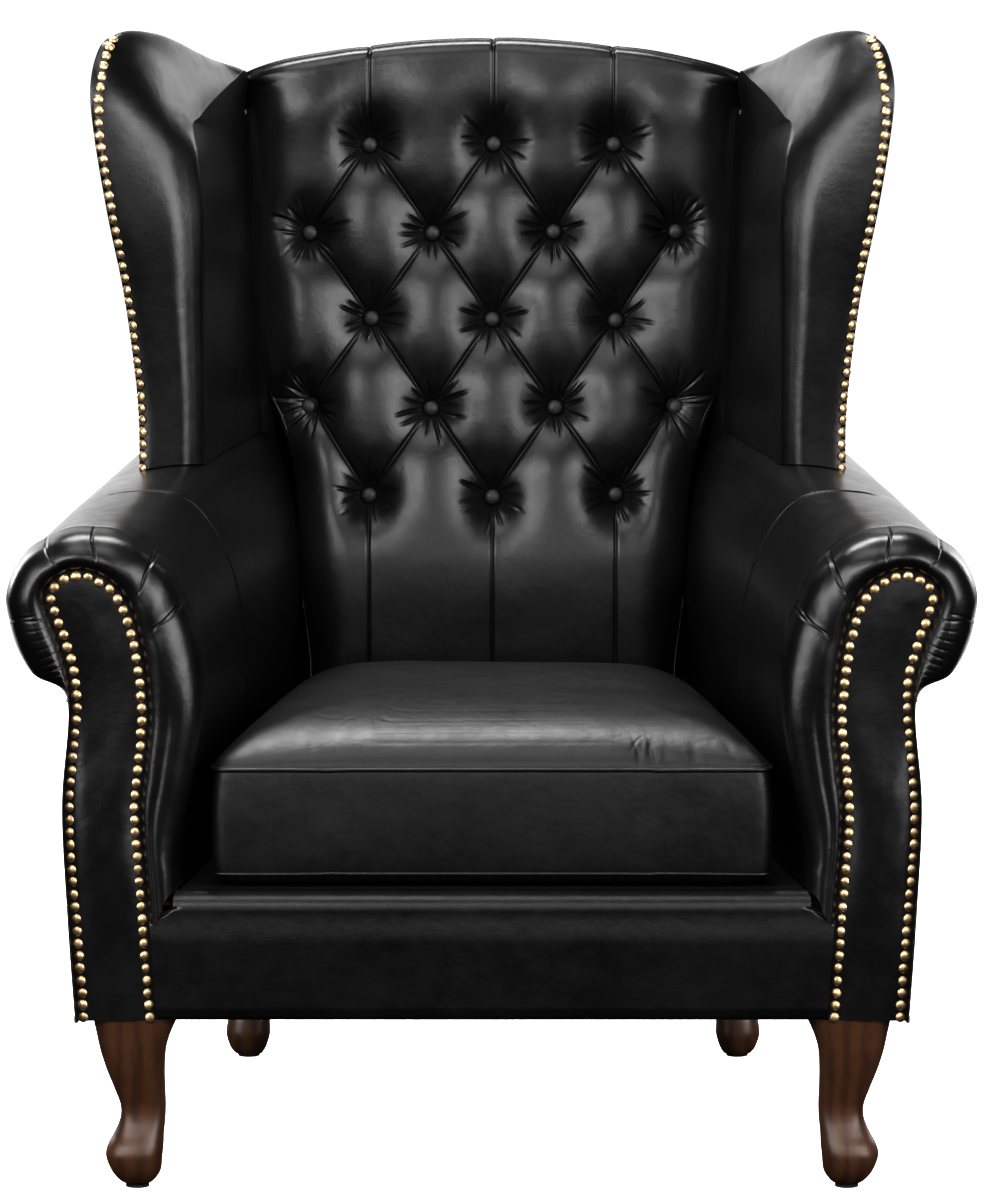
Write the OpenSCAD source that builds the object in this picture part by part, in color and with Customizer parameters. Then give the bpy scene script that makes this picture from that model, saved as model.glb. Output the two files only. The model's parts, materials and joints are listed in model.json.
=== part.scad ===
// Wing-back chesterfield armchair on cabriole legs, at real size in millimetres.
// The origin is on the floor under the middle of the chair. +Z is up and the front faces -Y.
// Depths are measured back from the front plane, and are turned into Y in one place.

/* [Seat frame] */
// Height of the wooden legs, floor to the underside of the seat frame
leg_h = 166; // [120:1:220]
// Height of the four seat rails
rail_h = 90; // [70:1:100]
// Thickness of the rails, posts and boards
wood_t = 26; // [20:1:28]
// Clear width between the arm rolls at the front
seat_front_w = 538; // [480:1:640]
// Clear width between the arm rolls at the foot of the inside back
seat_back_w = 398; // [360:1:420]
// Depth of the seat, front plane to the foot of the inside back
seat_d = 540; // [500:1:560]
// Thickness of the back from its inside at the seat to its outside at the underside of the frame
back_d = 185; // [175:1:215]

/* [Arms] */
// Height of the arm roll at the front
arm_h = 625; // [580:1:660]
// Width of an arm, inner roll to the outermost point of the scroll
arm_w = 181; // [165:1:210]
// Depth of the rounded band around the arm facing
band_d = 45; // [36:1:60]
// Rise of the arm roll towards the back, in degrees
arm_rise = 3; // [1:0.5:4]

/* [Back] */
// Height of the middle of the back above the floor
back_h = 1046; // [1000:1:1080]
// Drop of the top edge from its middle to the wings
back_arch = 31; // [15:1:40]
// Width of the inside back between the tops of the wings
back_w = 508; // [490:1:520]
// Width of the inside back where the wings meet the arms
back_foot_w = 468; // [440:1:480]
// Lean of the inside back from upright, in degrees
back_lean = 10.9; // [9:0.1:12]
// Lean of the outside back from upright, in degrees
rear_lean = 7.2; // [6:0.1:8]
// Width of the outside back between the wing panels
rear_w = 600; // [580:1:620]

/* [Wings] */
// Height of the wing above the arm roll
wing_rise = 428; // [380:1:460]
// Reach of the wing out from the side of the inside back
wing_reach = 134; // [120:1:145]
// Depth from the front plane to the front edge of the wing
wing_front = 335; // [320:1:360]

/* [Tufting] */
// Diameter of a covered button
button_d = 16; // [12:1:20]
// Distance between neighbouring buttons in one row
tuft_w = 124; // [116:1:126]
// Distance between two rows of buttons
tuft_row = 88; // [80:1:90]
// Depth of a button below the crest of the tufts
tuft_depth = 28; // [20:1:34]
// Distance from the top of the back down to the first row of buttons
tuft_top = 106; // [95:1:120]

/* [Nails] */
// Diameter of a nail head
nail_d = 9; // [7:0.5:10]
// Distance between two nail heads, centre to centre
nail_pitch = 11.7; // [11:0.1:14]

/* [Cushion] */
// Height of the boxing between the two seams of the cushion
boxing_h = 98; // [80:1:110]
// Rise of the crown above the upper seam
crown = 48; // [30:1:60]
// Thickness of the seat deck padding
deck_t = 20; // [12:1:26]
// Length of the zip in the rear boxing
zip_len = 300; // [200:10:320]

/* [Hidden] */

// Clearance between pieces that touch
gap = 0.3;
// Thickness of the leather
skin = 1.5;
// Overrun of a cut past the face it opens
over = 1;
// Roundness of drawn circles
round_fn = 32;
// Steps between two chosen points of an outline
steps = 2;

// Levels above the floor
rail_top = leg_h + rail_h;
spring_t = 3.6;
hessian_t = 1.5;
hessian_z = rail_top + 2 * spring_t;
deck_pad_z = hessian_z + hessian_t;
deck_cover_t = 1.2;
deck_h = deck_pad_z + deck_t + gap + deck_cover_t;

// Depth of the seat frame at its underside, front plane to outside back
base_d = seat_d + back_d;

// Slopes of the sides, the arm rolls and the two faces of the back
taper = (seat_front_w - seat_back_w) / 2 / seat_d;
rise = tan(arm_rise);
lean = tan(back_lean);
rear = tan(rear_lean);

// Places in the depth, measured from the front plane
facing_y = 12;
board_y = facing_y + skin + gap;
frame_back = 6;
post_d = 38;
post_clear = 6;
rear_panel_t = 3;
rear_drop = 26;
rear_top_z = back_h - rear_drop;
body_d = base_d + rear * (rear_top_z - leg_h) + rear_panel_t;

// Point at depth d behind the front plane
function place(x, d, z) = [x, d - body_d / 2, z];

// Point where the outside back stands at height z
function rear_y(z) = base_d + rear * (z - leg_h);

// Point where the inside back stands at height z, at the crest of its tufts
function back_y(z) = seat_d + lean * (z - deck_h);

// Vector helpers
function unit(v) = v / max(norm(v), gap / 1000);
function mix(a, b, t) = a + (b - a) * t;
function flat(rows) = [for (row = rows) for (p = row) p];
function curve4(a, b, c, d, t) =
    (2 * b + (c - a) * t + (2 * a - 5 * b + 4 * c - d) * t * t + (3 * b - a - 3 * c + d) * t * t * t) / 2;

// Smooth curve through chosen points
function spline(pts, n) = [
    for (i = [0:len(pts) - 2])
        for (k = [0:n - 1])
            curve4(pts[max(i - 1, 0)], pts[i], pts[i + 1], pts[min(i + 2, len(pts) - 1)], k / n),
    pts[len(pts) - 1]
];

// Outline moved outward by a distance, for a path that has its outside on the right hand
function grown(pts, by) = [
    for (i = [0:len(pts) - 1])
        let (way = unit(pts[min(i + 1, len(pts) - 1)] - pts[max(i - 1, 0)]))
            pts[i] + by * [way[1], -way[0]]
];

// Lengths along a path, one value for each of its points
function run(pts) = [
    for (i = 0, s = 0; i < len(pts);
         s = s + (i + 1 < len(pts) ? norm(pts[i + 1] - pts[i]) : 0), i = i + 1) s
];

// Places a pitch apart along a path
function paced(pts, pitch) =
    let (s = run(pts), n = len(pts), last = s[n - 1], count = floor(last / pitch))
    [for (k = [0:count])
        let (d = (last - count * pitch) / 2 + k * pitch)
            [for (axis = [0:len(pts[0]) - 1]) lookup(d, [for (i = [0:n - 1]) [s[i], pts[i][axis]]])]];

// Direction out of a grid of points, and the grid moved inward along it
function out_of(g, i, j) =
    let (m = len(g) - 1, n = len(g[0]) - 1,
         u = unit(g[min(i + 1, m)][j] - g[i][j]) + unit(g[i][j] - g[max(i - 1, 0)][j]),
         v = unit(g[i][min(j + 1, n)] - g[i][j]) + unit(g[i][j] - g[i][max(j - 1, 0)]))
    unit(cross(u, v));
function sunk(g, by) = [
    for (i = [0:len(g) - 1]) [for (j = [0:len(g[0]) - 1]) g[i][j] - by * out_of(g, i, j)]
];

// Closed solid between an outer and an inner grid of points
module slab(outer, inner) {
    m = len(outer);
    n = len(outer[0]);
    back = m * n;
    polyhedron(concat(flat(outer), flat(inner)), concat(
        [for (i = [0:m - 2]) for (j = [0:n - 2])
            let (a = i * n + j, b = a + n, c = b + 1, d = a + 1)
                each [[a, d, c], [a, c, b], [back + a, back + b, back + c], [back + a, back + c, back + d]]],
        [for (j = [0:n - 2])
            let (a = j, d = j + 1, b = (m - 1) * n + j, c = b + 1)
                each [[d, a, back + a], [d, back + a, back + d], [b, c, back + c], [b, back + c, back + b]]],
        [for (i = [0:m - 2])
            let (a = i * n, b = a + n, d = a + n - 1, c = d + n)
                each [[a, b, back + b], [a, back + b, back + a], [c, d, back + d], [c, back + d, back + c]]]
    ), convexity = 8);
}

// Closed solid through rings of points, from the lowest ring to the highest
module rings(list) {
    m = len(list);
    n = len(list[0]);
    total = [for (row = list) [for (p = row) 1] * row / n];
    polyhedron(concat(flat(list), [total[0], total[m - 1]]), concat(
        [for (k = [0:m - 2]) for (i = [0:n - 1])
            let (a = k * n + i, b = k * n + (i + 1) % n, d = a + n, c = b + n)
                each [[a, d, c], [a, c, b]]],
        [for (i = [0:n - 1]) [m * n, i, (i + 1) % n]],
        [for (i = [0:n - 1]) [m * n + 1, (m - 1) * n + (i + 1) % n, (m - 1) * n + i]]
    ), convexity = 8);
}

// Closed ring-shaped solid between an outer and an inner wall, each a list of rings going up
module sleeve(outer, inner) {
    m = len(outer);
    n = len(outer[0]);
    back = m * n;
    polyhedron(concat(flat(outer), flat(inner)), concat(
        [for (k = [0:m - 2]) for (i = [0:n - 1])
            let (a = k * n + i, b = k * n + (i + 1) % n, d = a + n, c = b + n)
                each [[a, d, c], [a, c, b], [back + a, back + b, back + c], [back + a, back + c, back + d]]],
        [for (i = [0:n - 1])
            let (a = i, b = (i + 1) % n, d = (m - 1) * n + i, c = (m - 1) * n + (i + 1) % n)
                each [[a, b, back + b], [a, back + b, back + a], [c, d, back + d], [c, back + d, back + c]]]
    ), convexity = 8);
}

// A piece made on the right hand side, and its mirror image on the left
module on_side(side) {
    mirror([side < 0 ? 1 : 0, 0, 0]) children();
}

// Plate drawn in width and height, standing at depth d and thick towards the back
module upright(pts, d, thick) {
    translate([0, d + thick - body_d / 2, 0]) rotate([90, 0, 0]) linear_extrude(thick) polygon(pts);
}

// Plate drawn in width and depth, lying at height z
module lying(pts, z, thick) {
    translate([0, -body_d / 2, z]) linear_extrude(thick) polygon(pts);
}

// Plate drawn in width and height, leaning with the outside back, a distance in front of it
module leaning(pts, ahead, thick) {
    stretched = [for (p = pts) [p[0], (p[1] - leg_h) / cos(rear_lean)]];
    translate([0, base_d - ahead / cos(rear_lean) - body_d / 2, leg_h])
        rotate([90 - rear_lean, 0, 0])
            translate([0, 0, -thick]) linear_extrude(thick) polygon(stretched);
}

// Colours
leather = [0.07, 0.07, 0.08];
leather_seam = [0.16, 0.16, 0.17];
brass = [0.66, 0.5, 0.24];
walnut = [0.25, 0.13, 0.07];
beech = [0.76, 0.6, 0.42];
foam = [0.9, 0.84, 0.6];
jute = [0.68, 0.56, 0.38];
steel = [0.6, 0.62, 0.65];
cotton = [0.16, 0.16, 0.18];

// Arm sections. Each row is a share of the arm's width and of its height above the underside,
// from the foot of the outer side over the scroll to the foot of the inner side.
arm_shares = [
    [0.669, 0], [0.705, 0.22], [0.724, 0.45], [0.695, 0.655], [0.89, 0.71], [1, 0.85],
    [0.875, 0.958], [0.575, 1], [0.25, 0.95], [0.06, 0.82], [0, 0.655], [0.055, 0.5],
    [0.138, 0.35], [0.138, 0.23], [0.127, 0]
];
facing_shares = [
    [0.619, 0], [0.655, 0.22], [0.684, 0.43], [0.643, 0.66], [0.692, 0.77], [0.772, 0.865],
    [0.7, 0.904], [0.575, 0.908], [0.43, 0.866], [0.345, 0.766], [0.309, 0.628], [0.331, 0.519],
    [0.351, 0.42], [0.318, 0.236], [0.276, 0]
];
neck = 3 * steps;
outer_roll = 5 * steps;
inner_roll = 10 * steps;
top_of_arm = 7 * steps;
tuck_foot = 13 * steps;

// Rounded band: how far out towards the full section, and how far back
band_shares = [[0, 0.27], [0.13, 0.07], [0.36, 0], [0.68, 0.16], [0.9, 0.45], [1, 1]];

arm_rise_h = arm_h - leg_h;
section = [for (p = spline(arm_shares, steps)) [arm_w * p[0], leg_h + arm_rise_h * p[1]]];
nail_line = [for (p = spline(facing_shares, steps)) [arm_w * p[0], leg_h + arm_rise_h * p[1]]];
nail_margin = 5.6;
facing_edge = grown(nail_line, nail_margin);

// Rise of the inner shoulder of the arm on its way back to the wing, and where along the section
shoulder = 26;
shoulder_shares = [0, 0, 0, 0, 0, 0, 0.05, 0.2, 1, 0.9, 0.4, 0.1, 0, 0, 0];
lifts = [for (p = spline([for (q = shoulder_shares) [q, 0]], steps)) p[0]];

// Place of an arm section at depth d: its shift inward, and its growth in height above the underside
function arm_in(d) = seat_front_w / 2 - taper * max(d - band_d, 0);
function arm_growth(d) = 1 + rise * max(d - band_d, 0) / arm_rise_h;
function arm_lift(d) = shoulder * min(max(d - band_d, 0) / (wing_front - band_d), 1);
function arm_z(z, d, i) = leg_h + (z - leg_h) * arm_growth(d) + lifts[i] * arm_lift(d);
function arm_point(p, d, i) = place(arm_in(d) + p[0], d, arm_z(p[1], d, i));

// Depth at which line i of an arm outline meets a plane ahead of the outside back
function arm_end(line, i, ahead) =
    let (z = line[i][1] + lifts[i] * shoulder, slope = rear * rise * (line[i][1] - leg_h) / arm_rise_h)
        (rear_y(z) - ahead - slope * band_d) / (1 - slope);

// Inner side of the arm at depth d and height z, and its top at depth d and distance x from the middle
function arm_inner(d, z) = arm_in(d) + lookup(z,
    [for (i = [len(section) - 1:-1:top_of_arm]) [arm_z(section[i][1], d, i), section[i][0]]]);
function arm_over(d, x) = lookup(x - arm_in(d),
    [for (i = [inner_roll:-1:outer_roll]) [section[i][0], arm_z(section[i][1], d, i)]]);

// The arm's covers stop short of the back posts, and only the outer roll runs to the back
post_ahead = frame_back + post_d + post_clear;
function tuck(i) = i < top_of_arm ? gap : post_ahead;

function arm_grid(from, to) = concat(
    [for (q = band_shares)
        [for (i = [from:to])
            arm_point(mix(facing_edge[i], section[i], q[0]), band_d * q[1], i)]],
    [[for (i = [from:to]) arm_point(section[i], wing_front, i)]],
    [[for (i = [from:to]) arm_point(section[i], arm_end(section, i, tuck(i)), i)]]
);
function columns(g, from, to) = [for (row = g) [for (k = [from:to]) row[k]]];
arm_shell = arm_grid(0, tuck_foot);

arm_cover_pad = skin + gap;
pad_short = 1;
pad_from = neck + 1;

module arm_cover(side) color(leather) on_side(side) {
    slab(columns(arm_shell, neck, tuck_foot), columns(sunk(arm_shell, skin), neck, tuck_foot));
}

// Padding between the cover and the line of the arm board
module arm_pad(side) color(foam) on_side(side) {
    g = columns(sunk(arm_shell, arm_cover_pad), pad_from, tuck_foot);
    m = len(g) - 1;
    front_lift = [for (p = g[0]) [p[0], board_y + gap - body_d / 2, p[2]]];
    outer = concat([front_lift], [for (i = [3:m - 1]) g[i]], [[for (p = g[m]) p - [0, pad_short, 0]]]);
    depths = [board_y + gap, board_y + 2 * arm_cover_pad,
              band_d * band_shares[4][1] + arm_cover_pad, band_d];
    inner = concat(
        [for (d = depths) [for (i = [pad_from:tuck_foot]) arm_point(nail_line[i], d, i)]],
        [[for (i = [pad_from:tuck_foot]) arm_point(nail_line[i], wing_front, i)]],
        [[for (i = [pad_from:tuck_foot])
            arm_point(nail_line[i], arm_end(nail_line, i, tuck(i) + pad_short), i)]]
    );
    slab(outer, inner);
}

module outside_arm(side) color(leather) on_side(side) {
    slab(columns(arm_shell, 0, neck), columns(sunk(arm_shell, skin), 0, neck));
}

module arm_facing(side) color(leather) on_side(side)
    translate([seat_front_w / 2, 0, 0])
        upright(grown(facing_edge, -skin), facing_y, skin);

module arm_board(side) color(beech) on_side(side)
    translate([seat_front_w / 2, 0, 0])
        upright(grown(nail_line, -gap), board_y, wood_t);

// Rails inside the arm, cut square to the depth so that they meet the board and the post
module arm_bar(side, from_a, wide, z, high) on_side(side) {
    y0 = board_y + wood_t + gap;
    y1 = rear_y(z) - frame_back - post_d - gap;
    lying([
        [arm_in(y0) + from_a, y0], [arm_in(y0) + from_a + wide, y0],
        [arm_in(band_d) + from_a + wide, band_d], [arm_in(y1) + from_a + wide, y1],
        [arm_in(y1) + from_a, y1], [arm_in(band_d) + from_a, band_d]
    ], z, high);
}
bar_share = 0.36;
bar_in = bar_share * arm_w;

module side_rail(side) color(beech) arm_bar(side, bar_in, wood_t, leg_h, rail_h);

arm_rail_h = 40;
arm_rail_share = 0.74;
arm_rail_z = leg_h + arm_rail_share * arm_rise_h;
module arm_rail(side) color(beech) arm_bar(side, bar_in + wood_t / 2, wood_t, arm_rail_z, arm_rail_h);

// Seat frame between the arm boards and between the back posts
front_half = seat_front_w / 2 + nail_line[len(nail_line) - 1][0];
post_w = 34;
post_inset = 28;
post_in = rear_w / 2 - post_inset - post_w;
border_proud = 4;
border_front = facing_y - border_proud;
border_pad_t = 8;
rail_front = border_front + skin + gap + border_pad_t + gap;

module front_rail() color(beech)
    translate([-front_half + gap, rail_front - body_d / 2, leg_h])
        cube([2 * (front_half - gap), wood_t, rail_h]);

rear_rail_y = rear_y(leg_h) - frame_back - post_d;
module rear_rail() color(beech)
    translate([-post_in + gap, rear_rail_y - body_d / 2, leg_h])
        cube([2 * (post_in - gap), wood_t, rail_h]);

// Triangular blocks that hold the corners of the seat frame and take the leg bolts
block_leg = 66;
block_h = 60;
block_up = 12;
block_z = leg_h + block_up;
bolt_d = 8;
bolt_in = 18;
washer_t = 2;
front_block_y = rail_front + wood_t + gap;
rear_block_y = rear_rail_y - gap;
function rail_in(d) = arm_in(d) + bar_in - gap;
front_bolt = [rail_in(front_block_y) - bolt_in, front_block_y + bolt_in];
rear_bolt = [rail_in(rear_block_y) - bolt_in, rear_block_y - bolt_in];
module corner_block(y, way, bolt) difference() {
    lying([
        [rail_in(y), y], [rail_in(y) - block_leg, y], [rail_in(y + way * block_leg), y + way * block_leg]
    ], block_z, block_h);
    translate(place(bolt[0], bolt[1], block_z - over))
        cylinder(d = bolt_d + 2 * gap, h = block_h + 2 * over, $fn = round_fn);
}
module corner_blocks() color(beech)
    for (side = [-1, 1]) on_side(side) {
        corner_block(front_block_y, 1, front_bolt);
        corner_block(rear_block_y, -1, rear_bolt);
    }

// Bolts that come up out of the legs through the corner blocks, each with a washer and a nut
nut_h = 6;
module leg_bolts() color(steel)
    for (side = [-1, 1], at = [front_bolt, rear_bolt]) on_side(side)
        translate(place(at[0], at[1], leg_h + gap)) {
            cylinder(d = bolt_d, h = block_z + block_h - leg_h + 2 * nut_h, $fn = round_fn);
            translate([0, 0, block_z + block_h - leg_h])
                cylinder(d = 2.5 * bolt_d, h = washer_t, $fn = round_fn);
            translate([0, 0, block_z + block_h - leg_h + washer_t])
                cylinder(d = 1.8 * bolt_d, h = nut_h, $fn = 6);
        }

// Posts of the back, leaning with the outside back
post_short = 70;
post_foot = leg_h + gap + post_d * sin(rear_lean);
post_top = back_h - back_arch - post_short;
module back_post(side) color(beech) on_side(side)
    leaning([
        [post_in, post_foot], [post_in + post_w, post_foot],
        [post_in + post_w, post_top], [post_in, post_top]
    ], frame_back + post_d, post_d);

crest_h = 60;
lumbar_up = 70;
lumbar_z = deck_h + lumbar_up;
lumbar_h = 50;
module back_bar(z, high) leaning([
    [-post_in + gap, z], [post_in - gap, z], [post_in - gap, z + high], [-post_in + gap, z + high]
], frame_back + post_d, wood_t);
module crest_rail() color(beech) back_bar(post_top - crest_h, crest_h);
module lumbar_rail() color(beech) back_bar(lumbar_z, lumbar_h);

// Straps across the front of the posts that carry the back padding
strap_w = 50;
strap_t = 2;
strap_ahead = frame_back + post_d + gap + strap_t;
straps = 6;
strap_edge = 12;
strap_hold = 18;
module back_webbing() color(jute)
    for (k = [0:straps - 1]) {
        z = mix(lumbar_z, post_top - strap_w - strap_edge, k / (straps - 1));
        leaning([
            [-post_in - strap_hold, z], [post_in + strap_hold, z],
            [post_in + strap_hold, z + strap_w], [-post_in - strap_hold, z + strap_w]
        ], strap_ahead, strap_t);
    }

// Wings. Each row is a share of the reach, of the depth behind the front edge and of the rise.
// The edge row carries the nails, and the crease row lies where the front roll meets the inner face.
edge_shares = [
    [0.664, 0.038, 0], [0.675, 0.038, 0.16], [0.761, 0.022, 0.39], [0.877, 0.007, 0.58],
    [0.966, 0.007, 0.75], [1, 0.022, 0.86], [0.963, 0.056, 0.937], [0.88, 0.11, 0.975],
    [0.731, 0.233, 0.96], [0.53, 0.478, 0.895], [0.38, 0.7, 0.84], [0.343, 1, 0.8]
];
crease_shares = [
    [0.194, 0.078, 0.016], [0.194, 0.078, 0.16], [0.194, 0.078, 0.39], [0.187, 0.082, 0.575],
    [0.224, 0.11, 0.7], [0.269, 0.14, 0.77], [0.313, 0.167, 0.84], [0.313, 0.2, 0.9],
    [0.239, 0.3, 0.925], [0.104, 0.52, 0.885], [0.03, 0.78, 0.84], [0.02, 1, 0.8]
];
junction_shares = [0, 0.16, 0.39, 0.575, 0.65, 0.68, 0.7, 0.72, 0.74, 0.76, 0.775, 0.75];
post_shares = [0, 0.14, 0.33, 0.48, 0.6, 0.66, 0.7, 0.73, 0.75, 0.765, 0.775, 0.78];

// Direction of the roll's crest at each row, in degrees from straight forward to straight up
crest_turn = [0, 0, 0, 0, 8, 25, 55, 80, 95, 100, 100, 90];

// Shape of the roll from the edge to the crease, and its height
roll_shares = [[0, 0], [0.14, 0.66], [0.42, 1], [0.76, 0.6], [1, 0]];
roll_h = 20;
inner_shares = [0.35, 0.7, 1];
side_fall = 14;

wing_root = 20;
wing_foot = arm_h + wing_root;
wing_d = rear_y(wing_foot) - wing_front;
wing_end = len(edge_shares) - 1;
function wing_z(share) = wing_foot + wing_rise * share;
function wing_at(q) = [back_w / 2 + wing_reach * q[0], wing_front + wing_d * q[1], wing_z(q[2])];
function junction_x(z) =
    mix(back_foot_w, back_w, max(0, min(1, (z - wing_foot) / (back_h - back_arch - wing_foot)))) / 2;
function junction_at(z) = [junction_x(z), back_y(z) + side_fall, z];

// Points of the wing as width, depth and height, before they are placed
edge_line = spline([for (q = edge_shares) wing_at(q)], steps);
crease_line = spline([for (q = crease_shares) wing_at(q)], steps);
junction_line = [for (p = spline([for (q = junction_shares) [q, 0]], steps)) junction_at(wing_z(p[0]))];
post_line = [for (p = spline([for (q = post_shares) [q, 0]], steps)) [rear_w / 2, 0, wing_z(p[0])]];
turns = [for (p = spline([for (q = crest_turn) [q, 0]], steps)) p[0]];
wing_rows = len(edge_line);

// The foot of the wing stands on the arm, and its end meets the outside back
wing_seat = 4 * gap;
function settled(p, i) =
    let (d = i == wing_rows - 1 ? rear_y(p[2]) - gap : p[1])
        i == 0 ? place(p[0], d, arm_over(d, p[0]) + wing_seat) : place(p[0], d, p[2]);

wing_grid = [for (i = [0:wing_rows - 1]) concat(
    [for (q = roll_shares)
        settled(mix(edge_line[i], crease_line[i], q[0])
            + roll_h * q[1] * [0, -cos(turns[i]), sin(turns[i])], i)],
    [for (q = inner_shares) settled(mix(crease_line[i], junction_line[i], q), i)]
)];

// A grid moved inward, with its foot row set down on the arm again
function seated(g, by, lift = 0) = let (s = sunk(g, by)) concat(
    [[for (p = s[0]) [p[0], p[1], arm_over(p[1] + body_d / 2, p[0]) + wing_seat + lift]]],
    [for (i = [1:len(s) - 1]) s[i]]
);

wing_pad_t = 14;
foot_lift = 2.5;
module wing_cover(side) color(leather) on_side(side)
    slab(wing_grid, seated(wing_grid, skin));

module wing_pad(side) color(foam) on_side(side) {
    g = [for (row = wing_grid)
        [for (k = [0:len(row) - 1]) k == 0 ? mix(row[0], row[1], 0.3) : row[k]]];
    short = concat([for (i = [0:wing_rows - 2]) g[i]],
        [[for (p = g[wing_rows - 1]) p - [0, pad_short, 0]]]);
    slab(seated(short, skin + gap, foot_lift), seated(short, wing_pad_t, foot_lift));
}

// Outside panel of the wing, from the post at the back to the nails at the front
welt = 5;
function panel_row(i, shares) =
    let (d = rear_y(post_line[i][2]) - gap, back_p = [rear_w / 2, d, post_line[i][2]],
         front_p = edge_line[i] + welt * unit(back_p - edge_line[i]))
        [for (q = shares) settled(mix(back_p, front_p, q), i == 0 ? 0 : 1)];
panel_shares = [0, 0.33, 0.67, 1];
panel_grid = [for (i = [0:wing_rows - 2]) panel_row(i, panel_shares)];
module outside_wing(side) color(leather) on_side(side)
    slab(panel_grid, seated(panel_grid, skin));

// Board inside the wing, against its outside panel
wing_board_shares = [0.06, 0.33, 0.6, 0.84];
wing_board_t = 15;
board_end = 9 * steps;
module wing_board(side) color(beech) on_side(side) {
    g = [for (i = [0:board_end]) panel_row(i, wing_board_shares)];
    slab(seated(g, skin + gap, foot_lift), seated(g, skin + gap + wing_board_t, foot_lift));
}

// Tufting. Buttons stand in rows of three and four, and creases join neighbouring buttons.
tuft_rows = 5;
function row_z(r) = back_h - tuft_top - r * tuft_row;
function row_half(r) = r % 2 == 0 ? 2 : 3;
buttons = [for (r = [0:tuft_rows - 1]) for (k = [-row_half(r):2:row_half(r)]) [k * tuft_w / 2, row_z(r)]];
creases = concat(
    [for (r = [0:tuft_rows - 2]) for (k = [-row_half(r):2:row_half(r)]) for (s = [-1, 1])
        if (abs(k + s) <= row_half(r + 1))
            [[k * tuft_w / 2, row_z(r)], [(k + s) * tuft_w / 2, row_z(r + 1)]]],
    [for (k = [-2, 0, 2]) each [
        [[k * tuft_w / 2, row_z(0)], [k * tuft_w / 2, back_h]],
        [[k * tuft_w / 2, deck_h], [k * tuft_w / 2, row_z(tuft_rows - 1)]]
    ]]
);
function seg_dist(p, s) =
    let (v = s[1] - s[0], t = max(0, min(1, (p - s[0]) * v / (v * v)))) norm(p - s[0] - t * v);
function fall(r, inner, outer) =
    let (t = max(0, min(1, (r - inner) / (outer - inner)))) 1 - t * t * (3 - 2 * t);
button_rim = 7;
button_flat = button_d / 2 + button_rim;
pillow_r = 46;
crease_r = 26;
crease_share = 0.45;
function tuft_in(x, z) = tuft_depth * max(
    fall(min([for (b = buttons) norm([x, z] - b)]), button_flat, pillow_r),
    crease_share * fall(min([for (c = creases) seg_dist([x, z], c)]), 0, crease_r)
);

// Columns of the back: flats beside each button, a crest between, and the rounded side
flat_in = 10;
inner_columns = [for (k = [0:3]) each concat(
    k == 0 ? [] : [k * tuft_w / 2 - flat_in],
    [k * tuft_w / 2 + flat_in],
    k == 3 ? [] : [(k + 0.5) * tuft_w / 2]
)];
fixed_out = 2 * tuft_w / 2 + flat_in;
last_out = 3 * tuft_w / 2 + flat_in;
side_roll = 16;
last_step = 4;
side_columns = [[side_roll, 0.2], [side_roll / 4, 0.6], [0, 1]];

// Rows of the back: three for each row of buttons, the plain foot, then the roll over the top
foot_row_shares = [0.02, 0.35, 0.62, 0.85];
face_rows = concat(
    [for (q = foot_row_shares) mix(deck_h, row_z(tuft_rows - 1) - flat_in, q)],
    [for (r = [tuft_rows - 1:-1:0]) each concat(
        [row_z(r) - flat_in, row_z(r) + flat_in], r == 0 ? [] : [row_z(r) + tuft_row / 2])]
);

// Roll over the top: fall below the crest, distance behind the face and lean of the surface
top_roll = 26;
top_row_shares = [[1.1, 0, 0], [0.35, 0.25, 40], [0, 1.1, 75], [0.2, 2.6, 90]];
function crest_z(x, half) = back_h - back_arch * pow(x / half, 2);
top_half = junction_x(back_h - back_arch - 2 * top_roll) - 2 * gap;

side_reach = 32;
function back_half(z, d) =
    min(concat([for (s = [-1:1]) arm_inner(d, z + s * side_reach)], [junction_x(z)])) - 2 * gap;
function column(x, half) =
    x <= fixed_out ? x : fixed_out + (x - fixed_out) * min(1, (half - fixed_out) / (last_out - fixed_out));
function back_columns(half) =
    let (right = concat(
        [for (x = inner_columns) [column(x, half - side_roll - last_step), 0]],
        [for (c = side_columns) [half - c[0], c[1]]]))
    concat([for (i = [len(right) - 1:-1:0]) [-right[i][0], right[i][1]]], right);
column_count = len(back_columns(back_w / 2));

// Front of the back as a grid: point and the direction that leads into the padding
function face_point(j, k) =
    let (z = face_rows[k], half = back_half(z, back_y(z) + side_fall), c = back_columns(half)[j])
        [place(c[0], back_y(z) + tuft_in(c[0], z) + side_fall * c[1], z), [0, 1, 0]];
function top_point(j, k) =
    let (half = top_half, c = back_columns(half)[j], q = top_row_shares[k],
         z = crest_z(c[0], half) - top_roll * q[0] - side_fall / 2 * c[1],
         d = back_y(back_h - top_roll) + top_roll * q[1] + side_fall / 2 * c[1])
        [place(c[0], d, z), [0, cos(q[2]), -sin(q[2])]];
function end_point(j) =
    let (half = top_half, c = back_columns(half)[j], z = crest_z(c[0], half) - top_roll - gap)
        [place(c[0], rear_y(z) - gap, z), [0, 0, -1]];
back_grid = [for (j = [0:column_count - 1]) concat(
    [for (k = [0:len(face_rows) - 1]) face_point(j, k)],
    [for (k = [0:len(top_row_shares) - 1]) top_point(j, k)],
    [end_point(j)]
)];
function pushed(by) = [for (col = back_grid) [for (p = col) p[0] + by * p[1]]];

module inside_back_cover() color(leather) slab(pushed(0), pushed(skin));

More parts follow.
